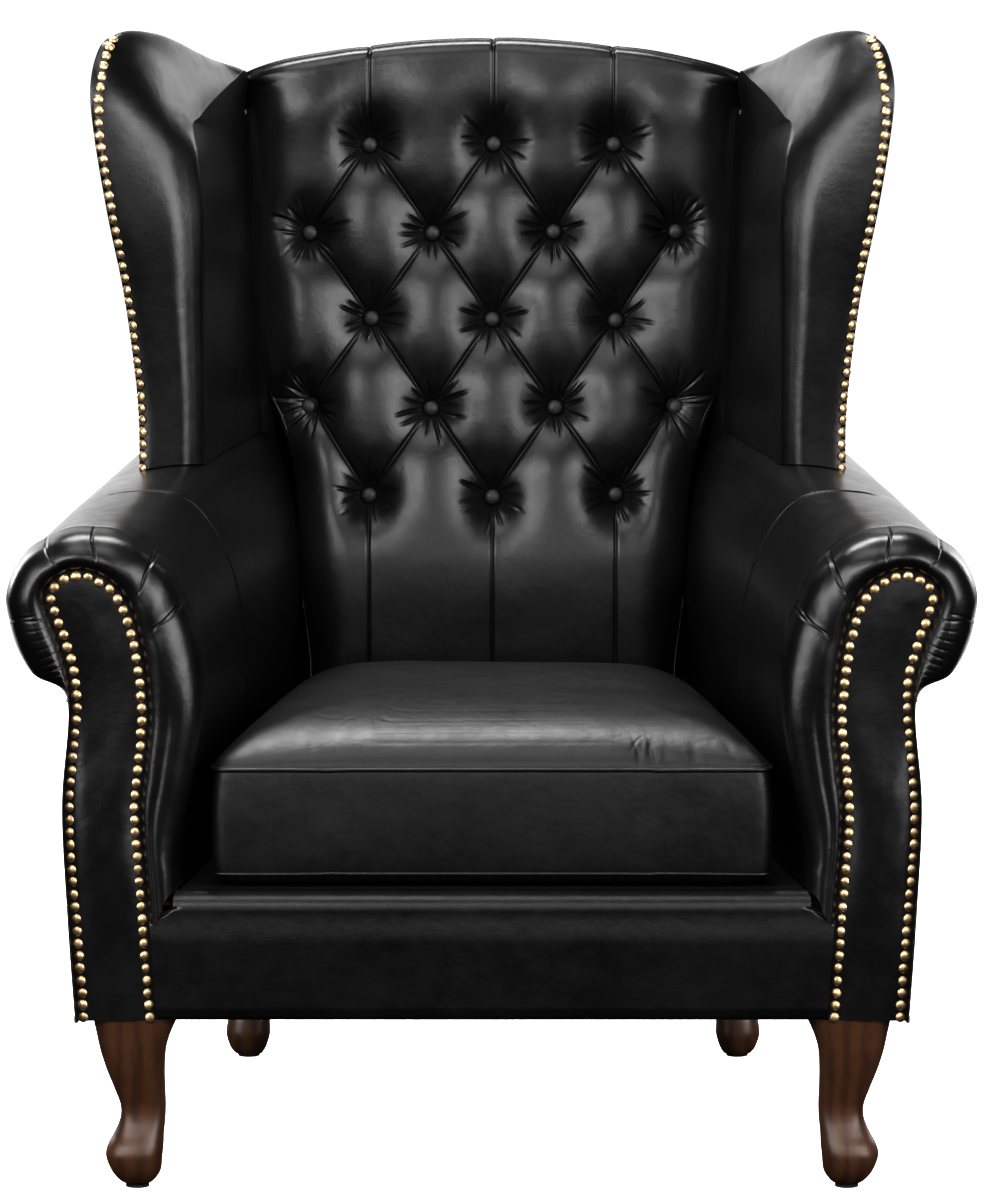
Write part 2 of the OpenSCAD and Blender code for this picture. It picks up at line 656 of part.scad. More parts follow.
// Back of the padding, just ahead of the straps and over the top of the posts
pad_ahead = strap_ahead + gap;
pad_lift = 6;
top_count = len(top_row_shares) + 1;
function pad_back(j, k) =
    let (n = len(face_rows), z = min(face_rows[min(k, n - 1)], post_top + pad_lift),
         d = rear_y(z) - pad_ahead / cos(rear_lean), half = back_half(z, d), c = back_columns(half)[j],
         t = max(0, k - n + 1) / top_count)
        place(c[0], mix(d, rear_y(post_top) - pad_lift, t), mix(z, post_top + 2 * pad_lift, t));
module back_pad() color(foam) slab(
    pushed(skin + gap),
    [for (j = [0:column_count - 1]) [for (k = [0:len(back_grid[0]) - 1]) pad_back(j, k)]]
);

// Covered buttons, each a domed cap on a flat washer
module button() rotate_extrude($fn = round_fn)
    polygon(concat([[0, 0], [button_d / 2, 0]],
        [for (a = [0:18:90]) [button_d / 2 * cos(a), button_d * (0.08 + 0.3 * sin(a))]]));
module back_buttons() color(leather)
    for (b = buttons)
        translate(place(b[0], back_y(b[1]) + tuft_depth - gap / cos(back_lean), b[1]))
            rotate([90 - back_lean, 0, 0]) button();

// Nail heads
nail_h_share = 0.3;
module nail() rotate_extrude($fn = round_fn)
    polygon(concat([[0, 0]], [for (a = [0:22.5:90]) nail_d * [cos(a) / 2, nail_h_share * sin(a)]]));
module facing_nails(side) color(brass) on_side(side)
    for (p = paced(nail_line, nail_pitch))
        translate(place(seat_front_w / 2 + p[0], facing_y, p[1])) rotate([90, 0, 0]) nail();

// Wing nails follow the edge of the wing up to its top, square to the leather beside the edge
nail_rows = 7 * steps;
edge_out = [for (i = [0:nail_rows]) out_of(wing_grid, i, 0)];
function out_at(z) = unit([for (axis = [0:2])
    lookup(z, [for (i = [0:nail_rows]) [edge_line[i][2], edge_out[i][axis]]])]);
module wing_nails(side) color(brass) on_side(side)
    for (p = paced([for (i = [0:nail_rows]) edge_line[i] + [0, 0, i == 0 ? nail_d : 0]], nail_pitch)) {
        out = out_at(p[2]);
        translate(place(p[0], p[1], p[2]) + 2 * gap * out)
            rotate([0, acos(out[2]), atan2(out[1], out[0])]) nail();
    }

// Outside back: between the wing panels, with ears that close the ends of the arm rolls
ear = [for (i = [0:top_of_arm - 1])
    let (d = arm_end(section, i, 0)) [arm_in(d) + section[i][0], arm_z(section[i][1], d, i)]];
arch_steps = 6;
rear_half = concat(
    ear,
    [[rear_w / 2, ear[len(ear) - 1][1] + 2 * skin], [rear_w / 2, rear_top_z - back_arch]],
    [for (k = [arch_steps - 1:-1:0])
        let (x = rear_w / 2 * k / arch_steps) [x, rear_top_z - back_arch * pow(k / arch_steps, 2)]]
);
module outside_back_cover() color(leather) leaning(
    concat(rear_half, [for (i = [len(rear_half) - 2:-1:0]) [-rear_half[i][0], rear_half[i][1]]]),
    0, rear_panel_t);

// Plain border under the cushion, with its padding over the front rail
border_low = seat_front_w / 2 + facing_edge[len(facing_edge) - 1][0] - gap;
border_high = seat_front_w / 2 + facing_edge[tuck_foot][0] - gap;
border_neck = seat_front_w / 2 + section[tuck_foot][0] - skin;
border_step = section[tuck_foot][1] - skin;
border_line = [
    [border_low, leg_h], [border_high - skin, border_step], [border_neck, border_step],
    [border_neck, deck_h], [-border_neck, deck_h],
    [-border_neck, border_step], [-border_high + skin, border_step],
    [-border_low, leg_h]
];
module border_cover() color(leather) upright(border_line, border_front, skin);
module border_pad() color(foam) upright(border_line, border_front + skin + gap, border_pad_t);

// Springs: wires bent to and fro in one plane, resting on the front and rear rails
wires = 7;
wire_pitch = 62;
wire_swing = 20;
wire_bends = 22;
wire_end = 20;
wire_inset = 3;
wire_from = rail_front + wire_inset;
wire_to = rear_rail_y + wood_t - wire_inset;
wire_line = concat(
    [[0, wire_from]],
    [for (k = [0:wire_bends * 4])
        [wire_swing * sin(90 * k),
         mix(wire_from + wire_end, wire_to - wire_end, k / (wire_bends * 4))]],
    [[0, wire_to]]
);
module seat_springs() color(steel)
    for (k = [0:wires - 1])
        translate([(k - (wires - 1) / 2) * wire_pitch, 0, 0])
            lying(concat(grown(wire_line, spring_t / 2),
                [for (i = [len(wire_line) - 1:-1:0]) grown(wire_line, -spring_t / 2)[i]]),
                rail_top + gap, spring_t);

// Clips that hold the ends of the springs on the rails
clip_w = 22;
clip_d = 12;
clip_t = 1.4;
clip_h = spring_t + 2 * gap + clip_t;
module spring_clip(x, d) translate(place(x, d, rail_top)) difference() {
    translate([-clip_w / 2, -clip_d / 2, 0]) cube([clip_w, clip_d, clip_h]);
    translate([-spring_t / 2 - gap, -clip_d / 2 - over, -over])
        cube([spring_t + 2 * gap, clip_d + 2 * over, spring_t + 2 * gap + over]);
}
module spring_clips() color(steel)
    for (k = [0:wires - 1], d = [wire_from + wire_end / 2, wire_to - wire_end / 2])
        spring_clip((k - (wires - 1) / 2) * wire_pitch, d);

// Layers of the seat deck, cut to the inside of the arms
function deck_line(half, d0, d1) = [[-half(d0), d0], [half(d0), d0], [half(d1), d1], [-half(d1), d1]];
hessian_half = function(d) arm_in(d) + bar_in + wood_t / 2;
deck_half = function(d) arm_in(d) + section[tuck_foot][0] - 2 * gap;
module seat_hessian() color(jute)
    lying(deck_line(hessian_half, board_y + wood_t + gap, rear_rail_y - gap), hessian_z, hessian_t);
module deck_pad() color(foam)
    lying(deck_line(deck_half, rail_front, rear_rail_y - gap), deck_pad_z, deck_t);
module deck_cover() color(cotton)
    lying(deck_line(deck_half, rail_front, rear_rail_y - gap), deck_pad_z + deck_t + gap, deck_cover_t);

// Legs
front_leg_out = 65;
front_leg_back = 52;
front_leg = [seat_front_w / 2 + front_leg_out, front_leg_back];
front_leg_r = 40;
front_leg_shares = [
    [0, 0, 0.42], [0.03, 0.02, 0.55], [0.09, 0.03, 0.62], [0.17, 0.06, 0.655], [0.23, 0.03, 0.65],
    [0.3, -0.05, 0.58], [0.38, -0.13, 0.53], [0.46, -0.14, 0.53], [0.56, -0.07, 0.59],
    [0.68, 0.02, 0.68], [0.8, 0.07, 0.77], [0.9, 0.05, 0.87], [1, 0, 1]
];
rear_leg_out = 14;
rear_leg = [post_in + rear_leg_out, rear_rail_y];
rear_leg_r = 28;
rear_leg_shares = [
    [0, 0, 0.5], [0.04, 0.02, 0.66], [0.12, 0.02, 0.8], [0.2, 0, 0.78], [0.32, -0.08, 0.7],
    [0.5, -0.12, 0.7], [0.7, -0.06, 0.82], [0.86, 0, 0.94], [1, 0, 1]
];
glide_d = 22;
glide_h = 3;
leg_sides = 20;

// A leg as rings: share of the height, step of its centre outward and share of its half width
function leg_ring(at, r, q, squareness) = [for (k = [0:leg_sides - 1])
    let (a = 360 * k / leg_sides, c = cos(a), s = sin(a),
         l = r * q[2] / pow(pow(abs(c), squareness) + pow(abs(s), squareness), 1 / squareness))
        place(at[0] + r * q[1] + l * c, at[1] - r * q[1] + l * s, mix(glide_h, leg_h - gap, q[0]))];
module leg(side, at, r, shares) color(walnut) on_side(side)
    rings([for (q = shares) leg_ring(at, r, q, 2 + 3 * pow(q[0], 2))]);

module foot_glides() color(cotton)
    for (side = [-1, 1], at = [front_leg, rear_leg]) on_side(side)
        translate(place(at[0], at[1], 0)) cylinder(d = glide_d, h = glide_h - gap, $fn = round_fn);

// Cloth under the seat frame, notched around the tops of the legs
dust_t = 1;
notch = 3;
dust_side = function(d) arm_in(d) + bar_in + wood_t;
dust_half = [
    [front_leg[0] - front_leg_r - notch, rail_front],
    [front_leg[0] - front_leg_r - notch, front_leg[1] + front_leg_r + notch],
    [dust_side(front_leg[1] + front_leg_r + notch), front_leg[1] + front_leg_r + notch],
    [dust_side(rear_leg[1] - rear_leg_r - notch), rear_leg[1] - rear_leg_r - notch],
    [rear_leg[0] - rear_leg_r - notch, rear_leg[1] - rear_leg_r - notch],
    [rear_leg[0] - rear_leg_r - notch, rear_rail_y + wood_t]
];
module dust_cover() color(cotton)
    lying(concat(dust_half, [for (i = [len(dust_half) - 1:-1:0]) [-dust_half[i][0], dust_half[i][1]]]),
        leg_h - gap - dust_t, dust_t);

// Cushion: a box cushion with a crowned top, cut to the taper of the seat
cushion_front = 30;
cushion_side = 3;
cushion_rear = 10;
cushion_sides = 36;
corner_power = 8;
drawn_in = 4;
pipe_d = 5;
seam_rise = 14;
box_swell = 3;
cushion_back = seat_d - cushion_rear;
cushion_mid = (cushion_front + cushion_back) / 2;
cushion_z = deck_h + gap;
low_seam = cushion_z + seam_rise;
high_seam = low_seam + boxing_h;

// Outline of the cushion at a share of its size, at height z, moved out by a distance
function cushion_ring(share, z, out) = [for (k = [0:cushion_sides - 1])
    let (a = 360 * (k + 0.5) / cushion_sides, c = cos(a), s = sin(a),
         u = sign(c) * pow(abs(c), 2 / corner_power), v = sign(s) * pow(abs(s), 2 / corner_power),
         pull = drawn_in * (1 - pow(min(abs(u), abs(v)), 2)),
         reach = cushion_back - cushion_mid - pipe_d / 2 - (s < 0 ? pull * abs(s) : 0),
         d = cushion_mid + (share * reach + out) * v,
         half = arm_in(d) - cushion_side - pipe_d / 2 - pull * abs(c))
        place((share * half + out) * u, d, z)];

seam_gap = pipe_d / 2 + gap;
top_shares = [[0.2, 1], [0.55, 0.97], [0.8, 0.86], [0.93, 0.6], [0.985, 0.2]];
top_last = len(top_shares) - 1;
function top_rings(by) = concat(
    [cushion_ring(1, high_seam, -seam_gap - by)],
    [for (i = [len(top_shares) - 1:-1:0])
        cushion_ring(top_shares[i][0], high_seam + crown * top_shares[i][1] - by,
            -seam_gap * i / top_last - by / 2)]
);
function turned(list) = [for (i = [len(list) - 1:-1:0]) list[i]];
module cushion_top() color(leather)
    rings(concat(turned(top_rings(skin)), [cushion_ring(1, high_seam + gap, -seam_gap - skin / 2)],
        top_rings(0)));

low_shares = [0.4, 0.9, 0.97];
function low_rings(by) = [
    cushion_ring(low_shares[0], cushion_z + by, 0), cushion_ring(low_shares[1], cushion_z + by + gap, 0),
    cushion_ring(low_shares[2], cushion_z + by + seam_rise / 3, 0), cushion_ring(1, low_seam, -seam_gap - by)
];
module cushion_bottom() color(leather)
    rings(concat(low_rings(0), turned(low_rings(skin))));

function box_rings(by) = [
    cushion_ring(1, low_seam + seam_gap, -gap - by),
    cushion_ring(1, low_seam + boxing_h / 2, box_swell - by),
    cushion_ring(1, high_seam - seam_gap, -gap - by)
];
module cushion_boxing() color(leather) sleeve(box_rings(0), box_rings(skin));

core_in = skin + gap;
module cushion_core() color(foam) rings(concat(
    [low_rings(core_in)[0], low_rings(core_in)[1]],
    [cushion_ring(low_shares[2], cushion_z + core_in + seam_rise / 3, -gap)],
    [cushion_ring(1, low_seam + seam_gap, -seam_gap - core_in),
     cushion_ring(1, low_seam + boxing_h / 2, -core_in),
     cushion_ring(1, high_seam - seam_gap, -seam_gap - core_in)],
    [for (i = [top_last - 1:-1:0])
        cushion_ring(top_shares[i][0], high_seam + crown * top_shares[i][1] - 2 * core_in,
            -seam_gap - core_in)]
));

// Piping: a closed cord around each seam
pipe_sides = 4;
function pipe_ring(z, k) = cushion_ring(1, z + pipe_d / 2 * sin(360 * k / pipe_sides),
    pipe_d / 2 * cos(360 * k / pipe_sides));
module pipe(z) {
    n = cushion_sides;
    m = pipe_sides;
    polyhedron(flat([for (k = [0:m - 1]) pipe_ring(z, k)]),
        [for (k = [0:m - 1]) for (i = [0:n - 1])
            let (up = (k + 1) % m * n, next = (i + 1) % n, a = k * n + i, b = k * n + next, c = up + next)
                each [[a, up + i, c], [a, c, b]]], convexity = 6);
}
module cushion_piping() color(leather_seam) for (z = [low_seam, high_seam]) pipe(z);

// Zip in the rear boxing, with a slider that runs along its teeth
tape_t = 1.2;
tape_h = 24;
teeth_t = 2;
teeth_h = 5;
slider_l = 14;
slider_t = 1.5;
tab_l = 24;
tab_w = 6;
zip_z = low_seam + boxing_h / 2;
zip_y = cushion_back - pipe_d / 2 + box_swell + gap;
module cushion_zip() color(leather_seam) {
    translate(place(-zip_len / 2, zip_y, zip_z - tape_h / 2)) cube([zip_len, tape_t, tape_h]);
    translate(place(-zip_len / 2, zip_y + tape_t, zip_z - teeth_h / 2)) cube([zip_len, teeth_t, teeth_h]);
}
module zip_slider() color(brass) {
    slider_h = teeth_h + 2 * gap + 2 * slider_t;
    translate(place(-zip_len / 2 + slider_l / 2, zip_y + tape_t + gap, zip_z)) {
        difference() {
            translate([-slider_l / 2, 0, -slider_h / 2]) cube([slider_l, teeth_t + slider_t, slider_h]);
            translate([-slider_l / 2 - over, -over, -teeth_h / 2 - gap])
                cube([slider_l + 2 * over, teeth_t + over, teeth_h + 2 * gap]);
        }
        translate([-tab_w / 2, teeth_t + slider_t, -tab_l]) cube([tab_w, slider_t, tab_l]);
    }
}

front_rail();
rear_rail();
side_rail(-1);  // side_rail_left
side_rail(1);  // side_rail_right
corner_blocks();
arm_board(-1);  // arm_board_left
arm_board(1);  // arm_board_right
arm_rail(-1);  // arm_rail_left
arm_rail(1);  // arm_rail_right
back_post(-1);  // back_post_left
back_post(1);  // back_post_right
crest_rail();
lumbar_rail();
wing_board(-1);  // wing_board_left
wing_board(1);  // wing_board_right
seat_springs();
spring_clips();
seat_hessian();
deck_pad();
deck_cover();
back_webbing();
back_pad();
arm_pad(-1);  // arm_pad_left
arm_pad(1);  // arm_pad_right
wing_pad(-1);  // wing_pad_left
wing_pad(1);  // wing_pad_right
border_pad();
inside_back_cover();
arm_cover(-1);  // arm_cover_left
arm_cover(1);  // arm_cover_right
arm_facing(-1);  // arm_facing_left
arm_facing(1);  // arm_facing_right
outside_arm(-1);  // outside_arm_left
outside_arm(1);  // outside_arm_right
wing_cover(-1);  // wing_cover_left
wing_cover(1);  // wing_cover_right
outside_wing(-1);  // outside_wing_left
outside_wing(1);  // outside_wing_right
outside_back_cover();
border_cover();
dust_cover();
back_buttons();
facing_nails(-1);  // facing_nails_left
facing_nails(1);  // facing_nails_right
wing_nails(-1);  // wing_nails_left
wing_nails(1);  // wing_nails_right
leg(-1, front_leg, front_leg_r, front_leg_shares);  // leg_front_left
leg(1, front_leg, front_leg_r, front_leg_shares);  // leg_front_right
leg(-1, rear_leg, rear_leg_r, rear_leg_shares);  // leg_rear_left
leg(1, rear_leg, rear_leg_r, rear_leg_shares);  // leg_rear_right
leg_bolts();
foot_glides();
cushion_top();
cushion_boxing();
cushion_bottom();
cushion_core();
cushion_piping();
cushion_zip();
zip_slider();
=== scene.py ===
import json
import math

import bpy
import numpy as np
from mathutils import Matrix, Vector


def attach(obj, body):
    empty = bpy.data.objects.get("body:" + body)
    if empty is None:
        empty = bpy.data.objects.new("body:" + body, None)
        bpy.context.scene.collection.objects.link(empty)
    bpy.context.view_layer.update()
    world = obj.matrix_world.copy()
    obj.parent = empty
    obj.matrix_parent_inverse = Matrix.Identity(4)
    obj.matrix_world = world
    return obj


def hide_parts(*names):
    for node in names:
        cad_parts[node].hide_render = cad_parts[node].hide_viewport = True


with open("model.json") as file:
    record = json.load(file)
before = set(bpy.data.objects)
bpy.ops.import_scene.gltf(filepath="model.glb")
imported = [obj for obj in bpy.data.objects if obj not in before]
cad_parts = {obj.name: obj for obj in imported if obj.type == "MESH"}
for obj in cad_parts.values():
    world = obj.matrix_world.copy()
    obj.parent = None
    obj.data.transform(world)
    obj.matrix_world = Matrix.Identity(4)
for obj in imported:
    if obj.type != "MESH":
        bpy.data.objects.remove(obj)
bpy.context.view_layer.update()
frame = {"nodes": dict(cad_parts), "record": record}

MM = 0.001
CHAIR = "frame"
CUSHION = "cushion"
SIDES = (("right", False), ("left", True))

# Sizes of the chair, in millimetres, as the frame was built
leg_h, base_d, rail_h = 166.0, 725.0, 90.0
seat_front_w, seat_back_w, seat_d = 538.0, 398.0, 540.0
arm_h, arm_w, band_d, arm_rise = 625.0, 181.0, 45.0, 3.0
back_h, back_arch, back_w, back_foot_w = 1046.0, 31.0, 508.0, 468.0
back_lean, rear_lean, rear_w = 10.9, 7.2, 600.0
wing_rise, wing_reach, wing_front = 428.0, 134.0, 335.0
button_d, tuft_w, tuft_row, tuft_depth, tuft_top = 16.0, 124.0, 88.0, 28.0, 106.0
nail_d, nail_pitch = 9.0, 11.7
boxing_h, crown, deck_t = 98.0, 48.0, 20.0
gap, skin = 0.3, 1.5
facing_y, post_ahead, rear_panel_t = 12.0, 50.0, 3.0
wire_d, hessian_t, cover_t, rear_drop = 3.6, 1.5, 1.2, 26.0

rail_top = leg_h + rail_h
deck_h = rail_top + 2 * wire_d + hessian_t + deck_t + gap + cover_t
taper = (seat_front_w - seat_back_w) / 2 / seat_d
seat_half = seat_front_w / 2
rise = math.tan(math.radians(arm_rise))
lean_angle = math.radians(back_lean)
lean = math.tan(lean_angle)
rear = math.tan(math.radians(rear_lean))
rear_top_z = back_h - rear_drop
body_d = base_d + rear * (rear_top_z - leg_h) + rear_panel_t


def rear_y(z):
    """Depth of the outside back's inner face at a height."""
    return base_d + rear * (z - leg_h)


def back_y(z):
    """Depth of the inside back, before its tufting, at a height."""
    return seat_d + lean * (z - deck_h)


# Small helpers
def between(a, b, c, d, f):
    """Smooth curve from b to c at the share f, with a before them and d after."""
    return (2 * b + (c - a) * f + (2 * a - 5 * b + 4 * c - d) * f**2 + (3 * b - a - 3 * c + d) * f**3) / 2


def curve(points, t):
    """Smooth curve through points, at the places t along it (0 is the first point)."""
    p = np.asarray(points, float)
    if p.ndim == 1:
        p = p[:, None]
    n = len(p)
    t = np.clip(np.asarray(t, float), 0, n - 1)
    i = np.minimum(t.astype(int), n - 2)
    f = (t - i)[..., None]
    return between(p[np.maximum(i - 1, 0)], p[i], p[i + 1], p[np.minimum(i + 2, n - 1)], f)


def step(x, a, b):
    """Smooth step from 0 at a to 1 at b."""
    t = np.clip((x - a) / (b - a), 0, 1)
    return t * t * (3 - 2 * t)


def ridge(x, a, b, c, d):
    """Rises from 0 to 1 between a and b, and falls back between c and d."""
    return step(x, a, b) * (1 - step(x, c, d))


def bell(x, w):
    """Smooth bump, 1 at its middle."""
    return np.exp(-((x / w) ** 2))


def fade(x, w, power=1):
    """Falls from 1 at 0 towards 0 with distance."""
    return np.exp(-((x / w) ** power))


def cut(x, w):
    """A narrow cut with soft lips: 1 at its middle, slightly negative beside it."""
    return np.exp(-((x / w) ** 2)) * 1.25 - 0.25 * np.exp(-((x / (2.4 * w)) ** 2))


def wobble(p, size, seed, octaves=3):
    """Soft uneven field over points, from -1 to 1, with bumps of about the given size."""
    r = np.random.default_rng(seed)
    total = np.zeros(p.shape[:-1])
    weight = 0.0
    for k in range(octaves):
        for _ in range(5):
            way = r.normal(size=3)
            way *= 2 * math.pi / (size / 2**k) / np.linalg.norm(way) * r.uniform(0.6, 1.2)
            total += np.sin(p @ way + r.uniform(0, 2 * math.pi)) * 0.55**k
            weight += 0.55 ** (2 * k)
    return total / math.sqrt(weight) / 2


def normals(p):
    """Unit normals of a grid of points."""
    u = np.gradient(p, axis=0)
    v = np.gradient(p, axis=1)
    n = np.cross(u, v)
    return n / np.maximum(np.linalg.norm(n, axis=-1, keepdims=True), 1e-9)


def raised(p, relief, row, column, way):
    """A grid moved out by its relief, and whether a flip makes its faces look along a way at a point."""
    n = normals(p)
    outer = np.sign(np.sum(n[row, column] * way))
    return p + n * outer * relief[..., None], outer < 0


def relaxed(p, times):
    """A grid evened out along its first axis, with its ends held."""
    p = p.copy()
    for _ in range(times):
        p[1:-1] = (p[:-2] + p[2:] + 2 * p[1:-1]) / 4
    return p


def run_along(p):
    """Length of a path up to each of its points."""
    return np.concatenate([[0], np.cumsum(np.linalg.norm(np.diff(p, axis=0), axis=1))])


def joined(*parts):
    """Points from their coordinates, of arrays or numbers."""
    return np.stack(np.broadcast_arrays(*parts), axis=-1)


def place(x, d, z):
    """Points from a distance to the middle, a depth behind the front and a height."""
    return joined(x, d - body_d / 2, z)


def added(name, data):
    """A new object in the scene."""
    made = bpy.data.objects.new(name, data)
    bpy.context.scene.collection.objects.link(made)
    return made


def mesh_piece(name, verts, faces, material, body=CHAIR):
    mesh = bpy.data.meshes.new(name)
    mesh.from_pydata((np.asarray(verts) * MM).tolist(), [], faces)
    mesh.shade_smooth()
    mesh.materials.append(material)
    piece = added(name, mesh)
    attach(piece, body)
    return piece


def grid_faces(m, n, flip=False, wrap=False):
    """Faces of a grid of m by n points, closed along its rows where it wraps."""
    i, j = np.meshgrid(np.arange(m - 1), np.arange(n if wrap else n - 1), indexing="ij")
    a = i * n + j
    b = i * n + (j + 1) % n
    f = np.stack([a, b, b + n, a + n], axis=-1).reshape(-1, 4)
    return (f[:, ::-1] if flip else f).tolist()


def grid_piece(name, p, material, body=CHAIR, flip=False, wrap=False, mirror=False, hem=0.0):
    """A piece from a grid of points. A hem turns its free edges inward, so that they have thickness."""
    if hem and not wrap:
        n = normals(p) * (1 if flip else -1)
        p = np.concatenate([p[:1] - hem * n[:1], p, p[-1:] - hem * n[-1:]])
        n = np.concatenate([n[:1], n, n[-1:]])
        p = np.concatenate([p[:, :1] - hem * n[:, :1], p, p[:, -1:] - hem * n[:, -1:]], axis=1)
    m, n = p.shape[:2]
    v = p.reshape(-1, 3).copy()
    if mirror:
        v[:, 0] *= -1
        flip = not flip
    return mesh_piece(name, v, grid_faces(m, n, flip, wrap), material, body)


def finish(piece, slot, *nodes):
    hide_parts(*nodes)


# Materials
def material(name):
    mat = bpy.data.materials.new(name)
    mat.use_nodes = True
    tree = mat.node_tree
    tree.nodes.clear()
    out = tree.nodes.new("ShaderNodeOutputMaterial")
    shader = tree.nodes.new("ShaderNodeBsdfPrincipled")
    tree.links.new(shader.outputs[0], out.inputs[0])
    return mat, tree, shader


def put(made, **values):
    """Sets the sockets of a node by name, with _ for a space."""
    for key, value in values.items():
        made.inputs[key.replace("_", " ")].default_value = value


def node(tree, kind, links=(), **values):
    """A shader node. A value whose name starts with _ is set on the socket of that name."""
    made = tree.nodes.new("ShaderNode" + kind)
    for key, value in values.items():
        if key[0] == "_":
            put(made, **{key[1:]: value})
        else:
            setattr(made, key, value)
    for socket, source in links:
        tree.links.new(source, made.inputs[socket])
    return made


def spot(tree, scale=(1, 1, 1)):
    coords = node(tree, "TexCoord")
    return node(tree, "Mapping", [("Vector", coords.outputs["Object"])], _Scale=scale).outputs[0]


def noise(tree, at, scale, detail, roughness=0.5):
    made = node(tree, "TexNoise", [("Vector", at)], _Scale=scale, _Detail=detail, _Roughness=roughness)
    return made.outputs["Fac"]


def add_share(tree, a, share, b):
    """A share of a, plus b."""
    made = node(tree, "Math", [(0, a), (2, b)], operation="MULTIPLY_ADD")
    made.inputs[1].default_value = share
    return made.outputs[0]


def paint(tree, shader, source, stops):
    """Base colour from a ramp over a source."""
    made = node(tree, "ValToRGB", [("Fac", source)])
    while len(made.color_ramp.elements) < len(stops):
        made.color_ramp.elements.new(0.5)
    for element, (at, colour) in zip(made.color_ramp.elements, stops):
        element.position = at
        element.color = (*colour, 1)
    tree.links.new(made.outputs["Color"], shader.inputs["Base Color"])


def roughen(tree, shader, source, rough, span=(0.0, 1.0)):
    """Roughness that follows a source."""
    spread = node(tree, "MapRange", [("Value", source)], _From_Min=span[0], _From_Max=span[1],
                  _To_Min=rough[0], _To_Max=rough[1])
    tree.links.new(spread.outputs[0], shader.inputs["Roughness"])


def bump(tree, shader, *layers):
    """Bumps over each other: a height, its strength and its distance in metres for each."""
    under = []
    for height, strength, distance in layers:
        made = node(tree, "Bump", [("Height", height)] + under, _Strength=strength, _Distance=distance)
        under = [("Normal", made.outputs[0])]
    tree.links.new(made.outputs[0], shader.inputs["Normal"])


def leather(name, dark=(0.002, 0.002, 0.0022), light=(0.0042, 0.0042, 0.0045), rough=(0.28, 0.37), grain=1.0):
    """Leather: cloudy in colour and polish, softly uneven, with fine grain and pores."""
    mat, tree, shader = material(name)
    at = spot(tree)
    cloudy = noise(tree, at, 9.0, 6.0, 0.6)
    soft = noise(tree, at, 60.0, 4.0, 0.6)
    fine = noise(tree, at, 420.0, 5.0, 0.65)
    pores = node(tree, "TexVoronoi", [("Vector", at)], _Scale=900.0, feature="SMOOTH_F1", _Smoothness=0.4)
    paint(tree, shader, cloudy, [(0.3, dark), (0.7, light)])
    mixed = node(tree, "Math", [(0, cloudy), (1, soft)], operation="ADD")
    roughen(tree, shader, mixed.outputs[0], rough, (0.7, 1.3))
    bump(tree, shader, (soft, 0.35, 0.0012 * grain), (fine, 0.5, 0.00012 * grain),
         (pores.outputs["Distance"], 0.4, 0.00005 * grain))
    return mat


def wood(name, colours, rough=(0.3, 0.5), scale=1.0, coat=0.0):
    """Wood with its grain along Z, and a coat of lacquer."""
    mat, tree, shader = material(name)
    at = spot(tree, (1.0, 1.0, 0.12))
    warp = noise(tree, at, 30.0 * scale, 3.0)
    grain = noise(tree, at, 160.0 * scale, 8.0, 0.7)
    rings = node(tree, "TexWave", [("Vector", at)], _Scale=18.0 * scale, _Distortion=6.0, _Detail=4.0,
                 bands_direction="X")
    tone = add_share(tree, warp, 0.5, add_share(tree, rings.outputs["Fac"], 0.35, grain))
    paint(tree, shader, tone, list(zip((0.45, 0.8, 1.0), colours)))
    roughen(tree, shader, grain, rough)
    bump(tree, shader, (grain, 0.25, 0.0004))
    put(shader, Coat_Weight=coat, Coat_Roughness=0.4)
    return mat


def metal(name, colours, rough=(0.25, 0.5), size=260.0):
    """Metal with darker and duller spots, size of them to a metre."""
    mat, tree, shader = material(name)
    cloudy = noise(tree, spot(tree), size, 4.0, 0.7)
    paint(tree, shader, cloudy, list(zip((0.35, 0.65), colours)))
    roughen(tree, shader, cloudy, rough)
    bump(tree, shader, (cloudy, 0.4, 0.0003))
    put(shader, Metallic=1.0)
    return mat


def weave(name, colours, pitch=0.0012, rough=0.9):
    """Woven cloth: threads over and under, pitch apart."""
    mat, tree, shader = material(name)
    at = spot(tree, (1 / pitch, 1 / pitch, 1 / pitch))
    checks = node(tree, "TexChecker", [("Vector", at)], _Scale=1.0)
    mixed = add_share(tree, checks.outputs["Fac"], 0.5, noise(tree, at, 0.7, 3.0))
    paint(tree, shader, mixed, list(zip((0.3, 1.0), colours)))
    bump(tree, shader, (mixed, 0.6, 0.0004))
    put(shader, Roughness=rough, Specular_IOR_Level=0.15)
    return mat


def foam_material(name):
    """Open foam with small cells."""
    mat, tree, shader = material(name)
    cells = node(tree, "TexVoronoi", [("Vector", spot(tree))], _Scale=700.0).outputs["Distance"]
    paint(tree, shader, cells, [(0.0, (0.55, 0.48, 0.28)), (0.7, (0.86, 0.79, 0.55))])
    bump(tree, shader, (cells, 0.6, 0.0006))
    put(shader, Roughness=0.95)
    return mat


